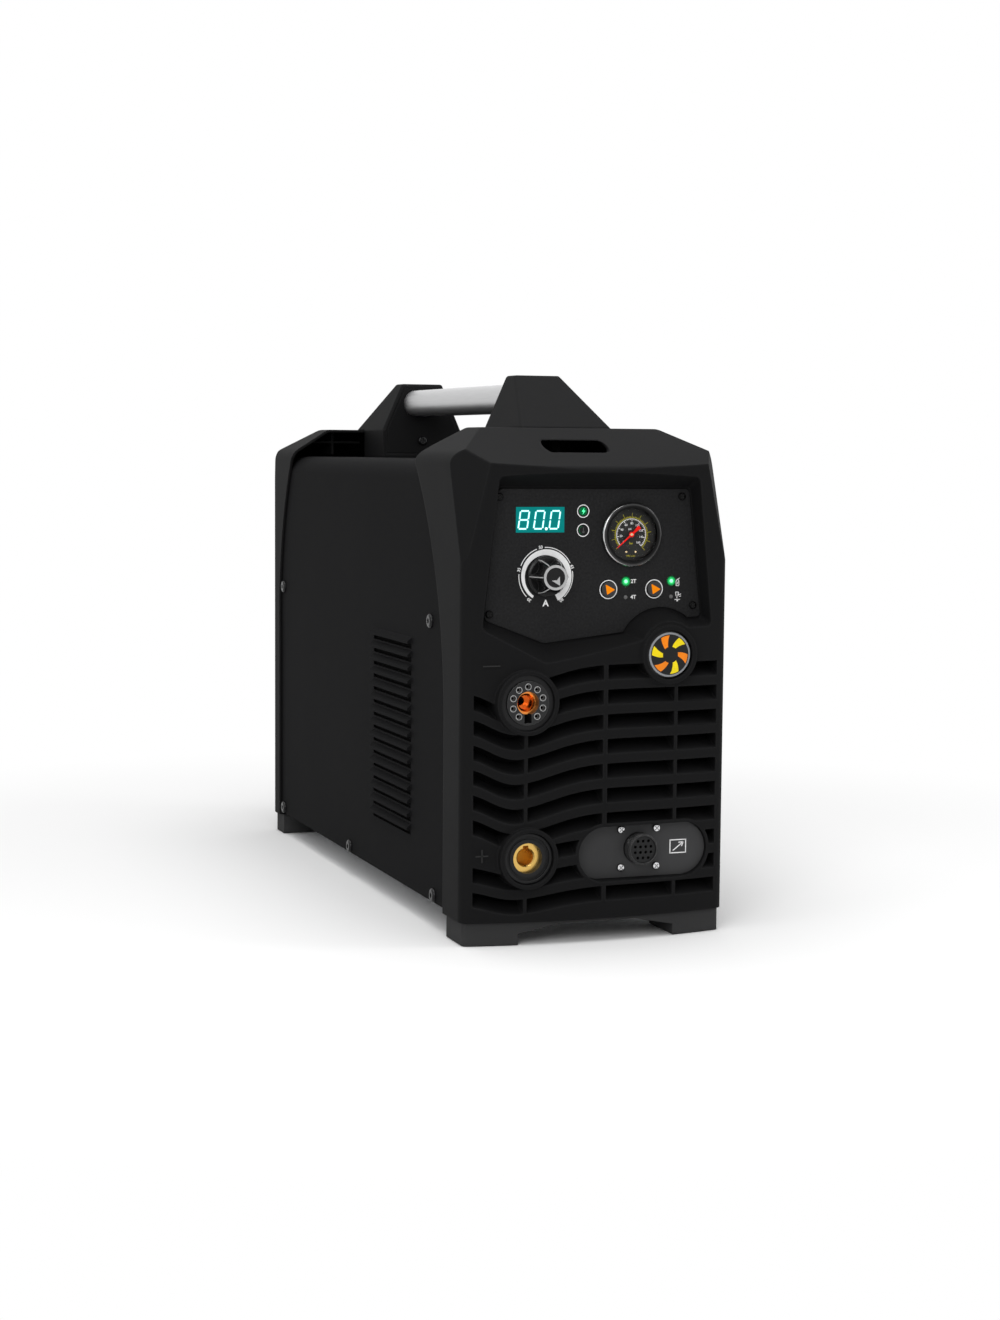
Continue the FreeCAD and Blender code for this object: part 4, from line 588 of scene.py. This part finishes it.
# A shallow round cap: rings of vertices that follow a ball, closed with a flat back
def cap(name, x, z, y, radius, proud, material, body="case"):
    rounds = 6
    around = 24
    shape = bmesh.new()
    curve = (radius ** 2 + proud ** 2) / (2 * proud)
    rows = []
    for level in range(rounds):
        reach = radius * (1 - level / rounds)
        depth = math.sqrt(curve ** 2 - reach ** 2) - (curve - proud)
        row = []
        for step in range(around):
            angle = 2 * math.pi * step / around
            spot = (x + reach * math.cos(angle), y - depth, z + reach * math.sin(angle))
            row.append(shape.verts.new(spot))
        rows.append(row)
    tip = shape.verts.new((x, y - proud, z))
    shape.faces.new(rows[0])
    for outer, inner in zip(rows, rows[1:]):
        for step in range(around):
            ahead = (step + 1) % around
            shape.faces.new((outer[step], outer[ahead], inner[ahead], inner[step]))
    for step in range(around):
        shape.faces.new((rows[-1][step], rows[-1][(step + 1) % around], tip))
    bmesh.ops.recalc_face_normals(shape, faces=shape.faces)
    mesh = closed_mesh(name, shape, material)
    mesh.polygons.foreach_set("use_smooth", [len(p.vertices) < 5 for p in mesh.polygons])
    return fitted(name, mesh, body)


# The green spill round a lit diode, strongest at its rim and gone at its reach
def halo_material(name, colour, strength, reach, centre):
    material, tree, shader = plain_material(name)
    shader.inputs["Base Color"].default_value = (0.012, 0.012, 0.012, 1)
    shader.inputs["Roughness"].default_value = 0.55
    shader.inputs["Specular IOR Level"].default_value = 0.3
    shader.inputs["Emission Strength"].default_value = strength
    where = tree.nodes.new("ShaderNodeTexCoord")
    away = tree.nodes.new("ShaderNodeVectorMath")
    away.operation = "DISTANCE"
    away.inputs[1].default_value = centre
    fade = tree.nodes.new("ShaderNodeMapRange")
    fade.interpolation_type = "SMOOTHSTEP"
    fade.inputs["From Min"].default_value = reach
    fade.inputs["From Max"].default_value = 0.3 * reach
    tree.links.new(where.outputs["Object"], away.inputs[0])
    tree.links.new(away.outputs["Value"], fade.inputs["Value"])
    glow = mixed(tree, fade.outputs["Result"], (0, 0, 0), colour)
    tree.links.new(glow, shader.inputs["Emission Color"])
    tree.links.new(fade.outputs["Result"], shader.inputs["Alpha"])
    return material


for number, x in enumerate(led_xs):
    z = led_zs[0]
    cap("led_lit_%d" % number, x, z, led_box_low.y + 0.5 * mm, led_radius * 0.98, 0.55 * mm, led_glow)
    spill = halo_material("led_spill_%d" % number, (0.0, 0.55, 0.12), 1.4, 4.9 * mm, (x, panel_y, z))
    printed(
        "led_spill_%d" % number, circle_line(x, z, 3.2 * mm, 3.4 * mm), panel_y, spill,
        layer=0.04 * mm,
    )

# Short labels right of the diodes: two and four stroke trigger, a torch with gas, a nozzle
lettering("label_2t", "2T", led_xs[0] + 6.4 * mm, led_zs[0], 2.9 * mm, panel_y, white_ink, bold=0.00008)
lettering("label_4t", "4T", led_xs[0] + 6.4 * mm, led_zs[1], 2.9 * mm, panel_y, white_ink, bold=0.00008)
icon_x = led_xs[1] + 5.3 * mm
icon_line = 0.5 * mm
bottle_z = led_zs[0] - 1.2 * mm
bottle = [
    (-1.2, -2.6, -1.2, 1.2),
    (1.2, -2.6, 1.2, 1.2),
    (-1.2, -2.6, 1.2, -2.6),
    (-1.2, 1.2, 0, 2.6),
    (1.2, 1.2, 0, 2.6),
    (0, 2.4, 1.9, 3.4),
    (-0.4, -1.6, 0.5, 0.6),
]


# The strokes of a small picture, from their ends in millimetres off its middle
def drawn(middle_x, middle_z, ends, width=icon_line):
    return [
        stroke(middle_x + x1 * mm, middle_z + z1 * mm, middle_x + x2 * mm, middle_z + z2 * mm, width)
        for x1, z1, x2, z2 in ends
    ]


printed("label_gas", drawn(icon_x, bottle_z, bottle), panel_y, white_ink)
nozzle_z = led_zs[1] + 0.6 * mm
nozzle = [
    (-1.6, 2.9, 1.0, 2.9),
    (-1.6, 2.9, -1.0, -0.3),
    (1.0, 2.9, 0.4, -0.3),
    (1.0, 0.6, 3.1, 1.4),
    (1.6, -0.6, 3.3, -0.2),
    (-0.3, -0.4, -0.3, -2.2),
    (-2.3, -2.9, 2.3, -2.9),
]
nozzle_lines = drawn(icon_x, nozzle_z, nozzle)
nozzle_lines += drawn(icon_x, nozzle_z, [(-0.6, -3.9, 0.6, -3.9)], 0.9 * mm)
printed("label_nozzle", nozzle_lines, panel_y, white_ink)


# Two round keys of black plastic in white printed rings, each with an orange pointer on its cap.
key_black = coated(
    "key_black", (0.008, 0.008, 0.0085), 0.35, 1500, 0.00002, 0.5, 0.0005, (0.02, 0.02, 0.02),
)
orange_ink = ink("orange_ink", (1.0, 0.265, 0.0))
pointer = [(-3.0, 4.1), (-1.7, -4.1), (5.0, -0.1)]
finish_with(key_black, "trigger_button", "mode_button")


# The pointers on the keys have slightly rounded corners
def rounded_corners(corners, radius):
    steps = 4
    outline = []
    count = len(corners)
    for index in range(count):
        at = Vector(corners[index])
        back = (Vector(corners[index - 1]) - at).normalized()
        ahead = (Vector(corners[(index + 1) % count]) - at).normalized()
        reach = radius / math.tan(back.angle(ahead) / 2)
        first = at + back * reach
        last = at + ahead * reach
        for step in range(steps + 1):
            share = step / steps
            spot = first * (1 - share) ** 2 + at * 2 * share * (1 - share) + last * share ** 2
            outline.append((spot.x, spot.y))
    return outline


key_rings = []
for node, body in (("trigger_button", "trigger_key"), ("mode_button", "mode_key")):
    low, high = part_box(node)
    x = (low.x + high.x) / 2
    z = (low.z + high.z) / 2
    key_rings += circle_line(x, z, 7.05 * mm, 0.7 * mm)
    outline = [(x + u * mm, z + v * mm) for u, v in rounded_corners(pointer, 0.5)]
    printed(node + "_pointer", [outline], low.y, orange_ink, body)
printed("key_rings", key_rings, panel_y, white_ink)


# The current dial. Round the knob lies a tapered white band, thin at the least current and wide
# at the most, with a thin broken ring and its numbers outside.
knob_low, knob_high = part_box("current_knob")
dial_x = (knob_low.x + knob_high.x) / 2
dial_z = (knob_low.z + knob_high.z) / 2
band_start = 237.0
band_end = -62.0
dial_band = band(dial_x, dial_z, band_start, band_end, (17.9 * mm, 14.4 * mm), (19.9 * mm, 21.4 * mm))
printed("dial_band", [dial_band], panel_y, white_ink)
scale_radius = 22.4 * mm
scale_line = 0.6 * mm
scale_numbers = ("20", "35", "50", "65", "80")
number_angles = (233.0, 167.0, 101.5, 18.0, -55.0)
scale_arcs = []
for angle, following in zip(number_angles, number_angles[1:]):
    radii = ((scale_radius - scale_line,) * 2, (scale_radius,) * 2)
    scale_arcs.append(band(dial_x, dial_z, angle - 8.5, following + 8.5, *radii))
printed("dial_scale", scale_arcs, panel_y, white_ink)
for words, angle in zip(scale_numbers, number_angles):
    x = dial_x + (scale_radius + 0.1 * mm) * math.cos(math.radians(angle))
    z = dial_z + (scale_radius + 0.1 * mm) * math.sin(math.radians(angle))
    spin = math.radians(90 - angle)
    lettering("dial_" + words, words, x, z, 2.3 * mm, panel_y, white_ink, spin=spin, bold=0.00006)
lettering("dial_unit", "A", dial_x, dial_z - 20.9 * mm, 4.8 * mm, panel_y, white_ink, bold=0.0002)

# The knob is black plastic with six hollows round its sides. A light grey ring on its front face
# and grey ridges between the hollows are painted highlights. The face carries a dark cap with an
# arrow. The shaft is plated steel.
knob_black = coated(
    "knob_black", (0.004, 0.004, 0.0042), 0.28, 1500, 0.00002, 0.22, 0.0006, (0.05, 0.05, 0.05),
)
finish_with(knob_black, "current_knob", "knob_cap", "mains_switch_knob", "regulator_knob")
cap_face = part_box("knob_cap")[0].y


# A painted highlight along the raised ridge between two hollows, from the grey face down to the skirt
def knob_ridge_highlight(number):
    angle = math.radians(60 * number)
    line = bpy.data.curves.new("knob_ridge_%d" % number, "CURVE")
    line.dimensions = "3D"
    line.bevel_depth = 0.42 * mm
    line.bevel_resolution = 2
    line.use_fill_caps = True
    course = line.splines.new("NURBS")
    stations = ((9.8, 0.6), (11.3, 3.2), (13.2, 8.3), (14.1, 13.0), (14.5, 17.4))
    course.points.add(len(stations) - 1)
    for spot, (reach, depth) in zip(course.points, stations):
        x = dial_x + reach * mm * math.cos(angle)
        z = dial_z + reach * mm * math.sin(angle)
        spot.co = (x, knob_low.y + depth * mm, z, 1)
    course.order_u = 3
    course.use_endpoint_u = True
    line.materials.append(knob_grey)
    fitted(line.name, line, "current_dial")


knob_grey = ink("knob_grey", (0.42, 0.42, 0.42), 0.35)
arrow = [(3.6, -6.2), (-3.2, -2.2), (1.0, -2.0), (3.3, 0.8)]
outline = [(dial_x + u * mm, dial_z + v * mm) for u, v in arrow]
printed("knob_arrow", [outline], cap_face, knob_grey, "current_dial")
printed(
    "knob_face_highlight", circle_line(dial_x, dial_z, 8.6 * mm, 2.0 * mm), knob_low.y, knob_grey,
    "current_dial",
)
for number in range(6):
    knob_ridge_highlight(number)

# The pressure gauge: chrome ring, black dial under a clear lens, a white and a yellow scale, a
# red needle on a brass hub, and the two small screws that hold the dial.
gauge_low, gauge_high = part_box("gauge_ring")
gauge_x = (gauge_low.x + gauge_high.x) / 2
gauge_z = (gauge_low.z + gauge_high.z) / 2
dial_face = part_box("gauge_dial")[0].y


def metal(name, colour, roughness, patch=60.0, spread=0.06):
    material, tree, shader = plain_material(name)
    shader.inputs["Metallic"].default_value = 1.0
    grain, patches = grained(tree, 1200, patch)
    tree.links.new(mixed(tree, patches, *shades(colour, 0.82, 1.1)), shader.inputs["Base Color"])
    wander(tree, patches, roughness - spread, roughness + spread, shader.inputs["Roughness"])
    bumped(tree, grain, 0.15, 0.00002, shader.inputs["Normal"])
    return material


# Polished chrome with a painted reflection: its colour holds a bright rim at its outer edge and
# a dark band on its slope, set by the distance from the gauge's middle
def chrome_with_painted_reflection():
    material = metal("gauge_chrome", (0.3, 0.3, 0.31), 0.1)
    tree = material.node_tree
    shader = tree.nodes["Principled BSDF"]
    where = tree.nodes.new("ShaderNodeTexCoord")
    flat = tree.nodes.new("ShaderNodeMapping")
    flat.inputs["Location"].default_value = (-gauge_x, 0, -gauge_z)
    flat.inputs["Scale"].default_value = (1, 0, 1)
    away = tree.nodes.new("ShaderNodeVectorMath")
    away.operation = "LENGTH"
    share = tree.nodes.new("ShaderNodeMapRange")
    share.inputs["From Min"].default_value = 20.5 * mm
    share.inputs["From Max"].default_value = 25.6 * mm
    ramp = tree.nodes.new("ShaderNodeValToRGB")
    stops = ramp.color_ramp.elements
    stops[0].position = 0.0
    stops[0].color = (0.02, 0.02, 0.02, 1)
    stops[1].position = 1.0
    stops[1].color = (0.62, 0.62, 0.63, 1)
    for spot, level in ((0.1, 0.008), (0.38, 0.02), (0.52, 0.07), (0.64, 0.02), (0.76, 0.8), (0.88, 0.5)):
        stop = stops.new(spot)
        stop.color = (level, level, level, 1)
    tree.links.new(where.outputs["Object"], flat.inputs["Vector"])
    tree.links.new(flat.outputs["Vector"], away.inputs[0])
    tree.links.new(away.outputs["Value"], share.inputs["Value"])
    tree.links.new(share.outputs["Result"], ramp.inputs["Fac"])
    tree.links.new(ramp.outputs["Color"], shader.inputs["Base Color"])
    return material


finish_with(chrome_with_painted_reflection(), "gauge_ring")
dial_black = coated(
    "dial_black", (0.004, 0.004, 0.004), 0.5, 1500, 0.00002, 0.3, 0.0003, (0.01, 0.01, 0.01),
)
finish_with(dial_black, "gauge_dial")
gauge_glass, tree, shader = plain_material("gauge_glass")
shader.inputs["Base Color"].default_value = (1, 1, 1, 1)
shader.inputs["Transmission Weight"].default_value = 1.0
shader.inputs["IOR"].default_value = 1.04
shader.inputs["Roughness"].default_value = 0.0
finish_with(gauge_glass, "gauge_lens")
needle_red = ink("needle_red", (0.75, 0.008, 0.004), 0.35)
finish_with(needle_red, "gauge_needle")
yellow_ink = ink("yellow_ink", (0.50, 0.45, 0.0))
scale_start = 221.4
scale_sweep = 268.0
white_radius = 12.4 * mm


# One tick of a scale, from its inner radius to its outer one
def scale_mark(angle, near, far, width):
    across = math.cos(angle)
    up = math.sin(angle)
    return stroke(
        gauge_x + near * across, gauge_z + near * up, gauge_x + far * across, gauge_z + far * up, width
    )


scale_end = scale_start - scale_sweep
white_inner = white_radius - 0.35 * mm
white_scale = [band(gauge_x, gauge_z, scale_start, scale_end, (white_inner,) * 2, (white_radius,) * 2)]
for number in range(41):
    angle = math.radians(scale_start - scale_sweep * number / 40)
    length = (2.2 if number % 5 == 0 else 1.1) * mm
    width = (0.4 if number % 5 == 0 else 0.28) * mm
    white_scale.append(scale_mark(angle, white_radius - length, white_radius, width))
printed("gauge_white_scale", white_scale, dial_face, white_ink, layer=0.03 * mm)
yellow_radius = 13.4 * mm
yellow_inner = yellow_radius - 0.3 * mm
yellow_scale = [band(gauge_x, gauge_z, scale_start, scale_end, (yellow_inner,) * 2, (yellow_radius,) * 2)]
for number in range(51):
    angle = math.radians(scale_start - scale_sweep * number / 50)
    length = (3.4 if number % 5 == 0 else 0.8) * mm
    yellow_scale.append(scale_mark(angle, yellow_radius, yellow_radius + length, 0.26 * mm))
printed("gauge_yellow_scale", yellow_scale, dial_face, yellow_ink, layer=0.03 * mm)
for number in range(9):
    angle = math.radians(scale_start - scale_sweep * number / 8)
    x = gauge_x + 8.6 * mm * math.cos(angle)
    z = gauge_z + 8.6 * mm * math.sin(angle)
    lettering("gauge_number_%d" % number, str(20 * number), x, z, 1.7 * mm, dial_face, white_ink)
lettering(
    "gauge_unit_psi", "psi", gauge_x - 1.2 * mm, gauge_z + 4.4 * mm, 1.6 * mm, dial_face, white_ink,
)
lettering("gauge_unit_bar", "bar", gauge_x, gauge_z - 6.8 * mm, 1.6 * mm, dial_face, yellow_ink)
lettering("gauge_class", "MPa x 0.1", gauge_x, gauge_z - 16.6 * mm, 1.3 * mm, dial_face, yellow_ink)
hub_brass = metal("hub_brass", (0.62, 0.5, 0.3), 0.25)
needle_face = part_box("gauge_needle")[0].y + 0.1 * mm
cap("needle_hub", gauge_x, gauge_z, needle_face, 1.3 * mm, 0.4 * mm, hub_brass, "pressure_needle")
for side in (-1, 1):
    x = gauge_x + side * 3.9 * mm
    cap("dial_screw_%d" % (side + 1), x, gauge_z - 13.6 * mm, dial_face, 1.0 * mm, 0.5 * mm, hub_brass)


# The badge: a glossy domed medallion in a smooth rim. Its art is a plain sun wheel of orange and
# yellow blades round a silver ring, laid on the dome's own curve.
badge_low, badge_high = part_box("badge_dome")
badge_x = (badge_low.x + badge_high.x) / 2
badge_z = (badge_low.z + badge_high.z) / 2
badge_radius = (badge_high.x - badge_low.x) / 2


def badge_material():
    material, tree, shader = plain_material("badge_gloss")
    shader.inputs["Roughness"].default_value = 0.35
    shader.inputs["Coat Weight"].default_value = 0.35
    shader.inputs["Specular IOR Level"].default_value = 0.1
    shader.inputs["Coat Roughness"].default_value = 0.06
    where = tree.nodes.new("ShaderNodeTexCoord")
    centred = tree.nodes.new("ShaderNodeMapping")
    centred.inputs["Location"].default_value = (-badge_x, 0, -badge_z)
    parts = tree.nodes.new("ShaderNodeSeparateXYZ")
    tree.links.new(where.outputs["Object"], centred.inputs["Vector"])
    tree.links.new(centred.outputs["Vector"], parts.inputs["Vector"])

    def step(kind, *values):
        node = tree.nodes.new("ShaderNodeMath")
        node.operation = kind
        for slot, value in enumerate(values):
            if isinstance(value, float):
                node.inputs[slot].default_value = value
            else:
                tree.links.new(value, node.inputs[slot])
        return node.outputs[0]

    squares = step("ADD", step("MULTIPLY", parts.outputs["X"], parts.outputs["X"]),
                   step("MULTIPLY", parts.outputs["Z"], parts.outputs["Z"]))
    reach = step("SQRT", squares)
    angle = step("ARCTAN2", parts.outputs["Z"], parts.outputs["X"])
    swept = step("ADD", angle, step("MULTIPLY", reach, 34.0))
    waves = step("SINE", step("MULTIPLY", swept, 6.0))
    blade = step("GREATER_THAN", waves, 0.1)
    turn_share = step("FRACT", step("MULTIPLY", swept, 3 / math.pi / 2))
    warm = step("GREATER_THAN", turn_share, 0.5)
    inside = step("LESS_THAN", reach, 0.80 * badge_radius)
    beyond = step("GREATER_THAN", reach, 0.34 * badge_radius)
    on_blade = step("MULTIPLY", blade, step("MULTIPLY", inside, beyond))
    ring = step("MULTIPLY", step("LESS_THAN", reach, 0.92 * badge_radius),
                step("GREATER_THAN", reach, 0.84 * badge_radius))
    blades = mixed(tree, warm, (0.95, 0.24, 0.0), (0.95, 0.74, 0.0))
    ground = mixed(tree, on_blade, (0.003, 0.003, 0.003), blades)
    soft = tree.nodes.new("ShaderNodeMix")
    soft.data_type = "RGBA"
    soft.blend_type = "MULTIPLY"
    soft.inputs["Factor"].default_value = 0.25
    tree.links.new(mixed(tree, ring, ground, (0.30, 0.31, 0.33)), soft.inputs["A"])
    tree.links.new(grained(tree, 900, 120)[1], soft.inputs["B"])
    tree.links.new(soft.outputs["Result"], shader.inputs["Base Color"])
    return material


finish_with(badge_material(), "badge_dome")

# Minus and plus signs are moulded into the front bezel beside the torch and earth sockets.
bezel_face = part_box("front_bezel")[0].y
sign_relief = ink("sign_relief", (0.022, 0.022, 0.022))
sign_x = -95.7 * mm
sign_reach = 5.0 * mm
sign_line = 0.9 * mm
sign_face = bezel_face + 4.9 * mm
minus_z = 216.0 * mm
plus_z = 70.9 * mm
minus_bar = stroke(sign_x, minus_z, sign_x + 13.5 * mm, minus_z, sign_line)
plus_bars = [
    stroke(sign_x - sign_reach, plus_z, sign_x + sign_reach, plus_z, sign_line),
    stroke(sign_x, plus_z - sign_reach, sign_x, plus_z + sign_reach, sign_line),
]
printed("minus_sign", [minus_bar], sign_face, sign_relief, layer=0.6 * mm)
printed("plus_sign", plus_bars, sign_face, sign_relief, layer=0.6 * mm)


# The sockets: glass-filled black plastic housings and inserts, a bright nickel-plated torch
# contact, copper pins and a brass earth contact.
socket_black = coated(
    "socket_black", (0.008, 0.008, 0.0085), 0.45, 1300, 0.00005, 0.2, 0.0008, (0.03, 0.03, 0.03),
)
finish_with(socket_black, "torch_socket_housing", "earth_socket_body")
insert_gloss = coated(
    "insert_gloss", (0.009, 0.009, 0.0095), 0.3, 900, 0.0002, 0.3, 0.0007, (0.12, 0.12, 0.12),
)
finish_with(insert_gloss, "torch_socket_insert")
bare_brass = metal("bare_brass", (0.72, 0.46, 0.13), 0.26)
finish_with(bare_brass, "earth_socket_insert")
pin_nickel = metal("pin_nickel", (0.20, 0.195, 0.19), 0.25)
finish_with(pin_nickel, "torch_socket_pins")
bare_copper = metal("bare_copper", (0.55, 0.20, 0.09), 0.3)
warm_contact = metal("warm_contact", (0.78, 0.27, 0.06), 0.18)
finish_with(warm_contact, "torch_socket_contact")
finish_with(socket_black, "interface_socket_insert")
shell_black = coated(
    "shell_black", (0.012, 0.012, 0.0125), 0.25, 900, 0.00003, 0.5, 0.0006, (0.12, 0.12, 0.12), 0.5,
)
finish_with(shell_black, "interface_socket_shell")

# The icon on the interface plate: an arrow into an open frame
plate_low, plate_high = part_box("interface_plate")
icon_left = 63.8 * mm
icon_right = 77.2 * mm
icon_low = 64.1 * mm
icon_high = 74.4 * mm
frame_line = 0.8 * mm
arrow_tail = Vector((icon_left + 2.4 * mm, icon_low + 1.8 * mm))
arrow_tip = Vector((icon_right - 2.0 * mm, icon_high - 1.8 * mm))
plate_icon = [
    stroke(icon_left, icon_high, icon_right, icon_high, frame_line),
    stroke(icon_left, icon_low, icon_right, icon_low, frame_line),
    stroke(icon_left, icon_low - frame_line / 2, icon_left, icon_high + frame_line / 2, frame_line),
    stroke(icon_right, icon_low - frame_line / 2, icon_right, icon_high + frame_line / 2, frame_line),
    stroke(*arrow_tail, *arrow_tip, frame_line),
    stroke(*arrow_tip, arrow_tip.x - 4.2 * mm, arrow_tip.y - 0.4 * mm, frame_line),
    stroke(*arrow_tip, arrow_tip.x - 1.6 * mm, arrow_tip.y - 3.6 * mm, frame_line),
]
printed("interface_icon", plate_icon, plate_low.y, white_ink)


# The heads of the small screws: glossy black on the control panel, bright plated steel round the
# interface socket, each a low dome with a dark cross painted on it as the shade in its cross recess.
dome_black = coated(
    "dome_black", (0.0015, 0.0015, 0.0015), 0.12, 900, 0.00001, 0.1, 0.0004, (0.004, 0.004, 0.004),
)
dome_bright = metal("dome_bright", (0.72, 0.72, 0.73), 0.22)
recess_shade_ink = ink("recess_shade_ink", (0.01, 0.01, 0.01))
for number, (low, high) in enumerate(solid_boxes("small_screws")):
    x = (low.x + high.x) / 2
    z = (low.z + high.z) / 2
    radius = (high.x - low.x) / 2
    bright_head = z < plate_high.z
    dome_metal = dome_bright if bright_head else dome_black
    dome = cap("screw_dome_%d" % number, x, z, low.y, radius * 0.97, 0.55 * mm, dome_metal)
    reach = radius * 0.5
    cross = [
        stroke(x - reach, z - reach, x + reach, z + reach, 0.6 * mm),
        stroke(x - reach, z + reach, x + reach, z - reach, 0.6 * mm),
    ]
    printed("screw_cross_shade_%d" % number, cross, low.y - 0.42 * mm, recess_shade_ink, layer=0.12 * mm)

# The torch socket's pins stand in light rims
pin_rims = []
for low, high in solid_boxes("torch_socket_pins"):
    pin_rims += circle_line((low.x + high.x) / 2, (low.z + high.z) / 2, 2.35 * mm, 0.4 * mm)
printed("torch_pin_rims", pin_rims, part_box("torch_socket_insert")[0].y, knob_grey)


# The rear: fan, guard, mains switch, gland, air regulator and inlet. Moulded parts are black, the
# guard is chromed wire and the regulator is cast zinc with brass fittings.
fan_black = coated(
    "fan_black", (0.009, 0.009, 0.0095), 0.42, 1500, 0.00004, 0.35, 0.0006, (0.03, 0.03, 0.03),
)
finish_with(
    fan_black, "fan_frame", "fan_rotor", "mains_switch_body", "cable_gland", "encoder_body",
    "gauge_case",
)
wire_chrome = metal("wire_chrome", (0.62, 0.62, 0.63), 0.16)
finish_with(wire_chrome, "fan_guard", "knob_shaft", "regulator_stem", "solenoid_valve")
cast_alloy = coated(
    "cast_alloy", (0.35, 0.35, 0.36), 0.45, 900, 0.00015, 0.5, 0.0008, (0.6, 0.6, 0.6), 0.9,
)
finish_with(cast_alloy, "air_regulator_body", "heatsink")
finish_with(bare_brass, "air_inlet_fitting")


# A dark sheet with a foam-like face lies behind the grille, on the back of the front sheet: painted
# shade for the dark inside of the case. Its face is full of small open cells.
def shade_sheet_material():
    material, tree, shader = plain_material("painted_shade_foam")
    shader.inputs["Roughness"].default_value = 0.95
    shader.inputs["Specular IOR Level"].default_value = 0.02
    where = tree.nodes.new("ShaderNodeTexCoord")
    cells = tree.nodes.new("ShaderNodeTexVoronoi")
    cells.inputs["Scale"].default_value = 700
    tree.links.new(where.outputs["Object"], cells.inputs["Vector"])
    mask = cells.outputs["Distance"]
    tree.links.new(mixed(tree, mask, (0.001,) * 3, (0.006,) * 3), shader.inputs["Base Color"])
    bumped(tree, mask, 1.0, 0.0006, shader.inputs["Normal"])
    return material


sheet_low, sheet_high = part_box("front_panel_sheet")
foam_low = plate_high.z + 12 * mm
foam_high = sheet_low.z + 220 * mm
foam_left = -38 * mm
foam_right = 100 * mm
foam = [[(foam_left, foam_low), (foam_right, foam_low), (foam_right, foam_high), (foam_left, foam_high)]]
painted_shade_foam = shade_sheet_material()
painted_shade_plate = printed("painted_shade_sheet", foam, sheet_high.y + 4.3 * mm, painted_shade_foam, layer=4 * mm)

# Strips of the same dark sheet lie behind the louvres of the cover and a piece closes the strap
# slot, all painted shade for the inside of the case
louvre_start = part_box("outer_cover")[0].y + 96 * mm
louvre_end = louvre_start + 124 * mm
foam_inside = 103.4 * mm
foam_outside = 105.6 * mm
louvre_low = 60 * mm
louvre_high = 234 * mm


def shade_lining(name, low, high):
    shape = bmesh.new()
    bmesh.ops.create_cube(shape, size=1.0)
    middle = (Vector(low) + Vector(high)) / 2
    for vert in shape.verts:
        vert.co = [middle[axis] + vert.co[axis] * (high[axis] - low[axis]) for axis in range(3)]
    bmesh.ops.bevel(shape, geom=shape.edges[:], offset=0.4 * mm, segments=2, affect="EDGES")
    fitted(name, closed_mesh(name, shape, painted_shade_foam), "case")


for name, side in (("louvre_shade_left", -1), ("louvre_shade_right", 1)):
    edges = sorted((side * foam_inside, side * foam_outside))
    low = (edges[0], louvre_start, louvre_low)
    shade_lining(name, low, (edges[1], louvre_end, louvre_high))
low = (30 * mm, -196 * mm, 373.3 * mm)
high = (64 * mm, -193 * mm, 391 * mm)
shade_lining("shoulder_shade", low, high)


# Inside and below: zinc-plated steel chassis, green boards, ferrite cores, copper windings,
# sleeved capacitors and blue air hose.
zinc_sheet = metal("zinc_sheet", (0.50, 0.51, 0.52), 0.38, 25.0, 0.1)
finish_with(zinc_sheet, "base_plate", "chassis_posts")
board_green = coated(
    "board_green", (0.01, 0.09, 0.035), 0.35, 900, 0.00003, 0.5, 0.0003, (0.05, 0.2, 0.1),
)
finish_with(board_green, "control_board", "inverter_board")
ferrite = coated("ferrite", (0.03, 0.03, 0.032), 0.6, 1100, 0.0001, 0.3, 0.0006, (0.08, 0.08, 0.08))
finish_with(ferrite, "transformer_core", "output_choke")
finish_with(bare_copper, "transformer_winding")
can_sleeve = coated("can_sleeve", (0.015, 0.02, 0.05), 0.3, 900, 0.00002, 0.5, 0.0005, (0.1, 0.1, 0.14))
finish_with(can_sleeve, "bus_capacitors")
hose_blue = coated("hose_blue", (0.01, 0.05, 0.22), 0.3, 1200, 0.00002, 0.5, 0.0006, (0.05, 0.15, 0.4))
finish_with(hose_blue, "air_hoses")
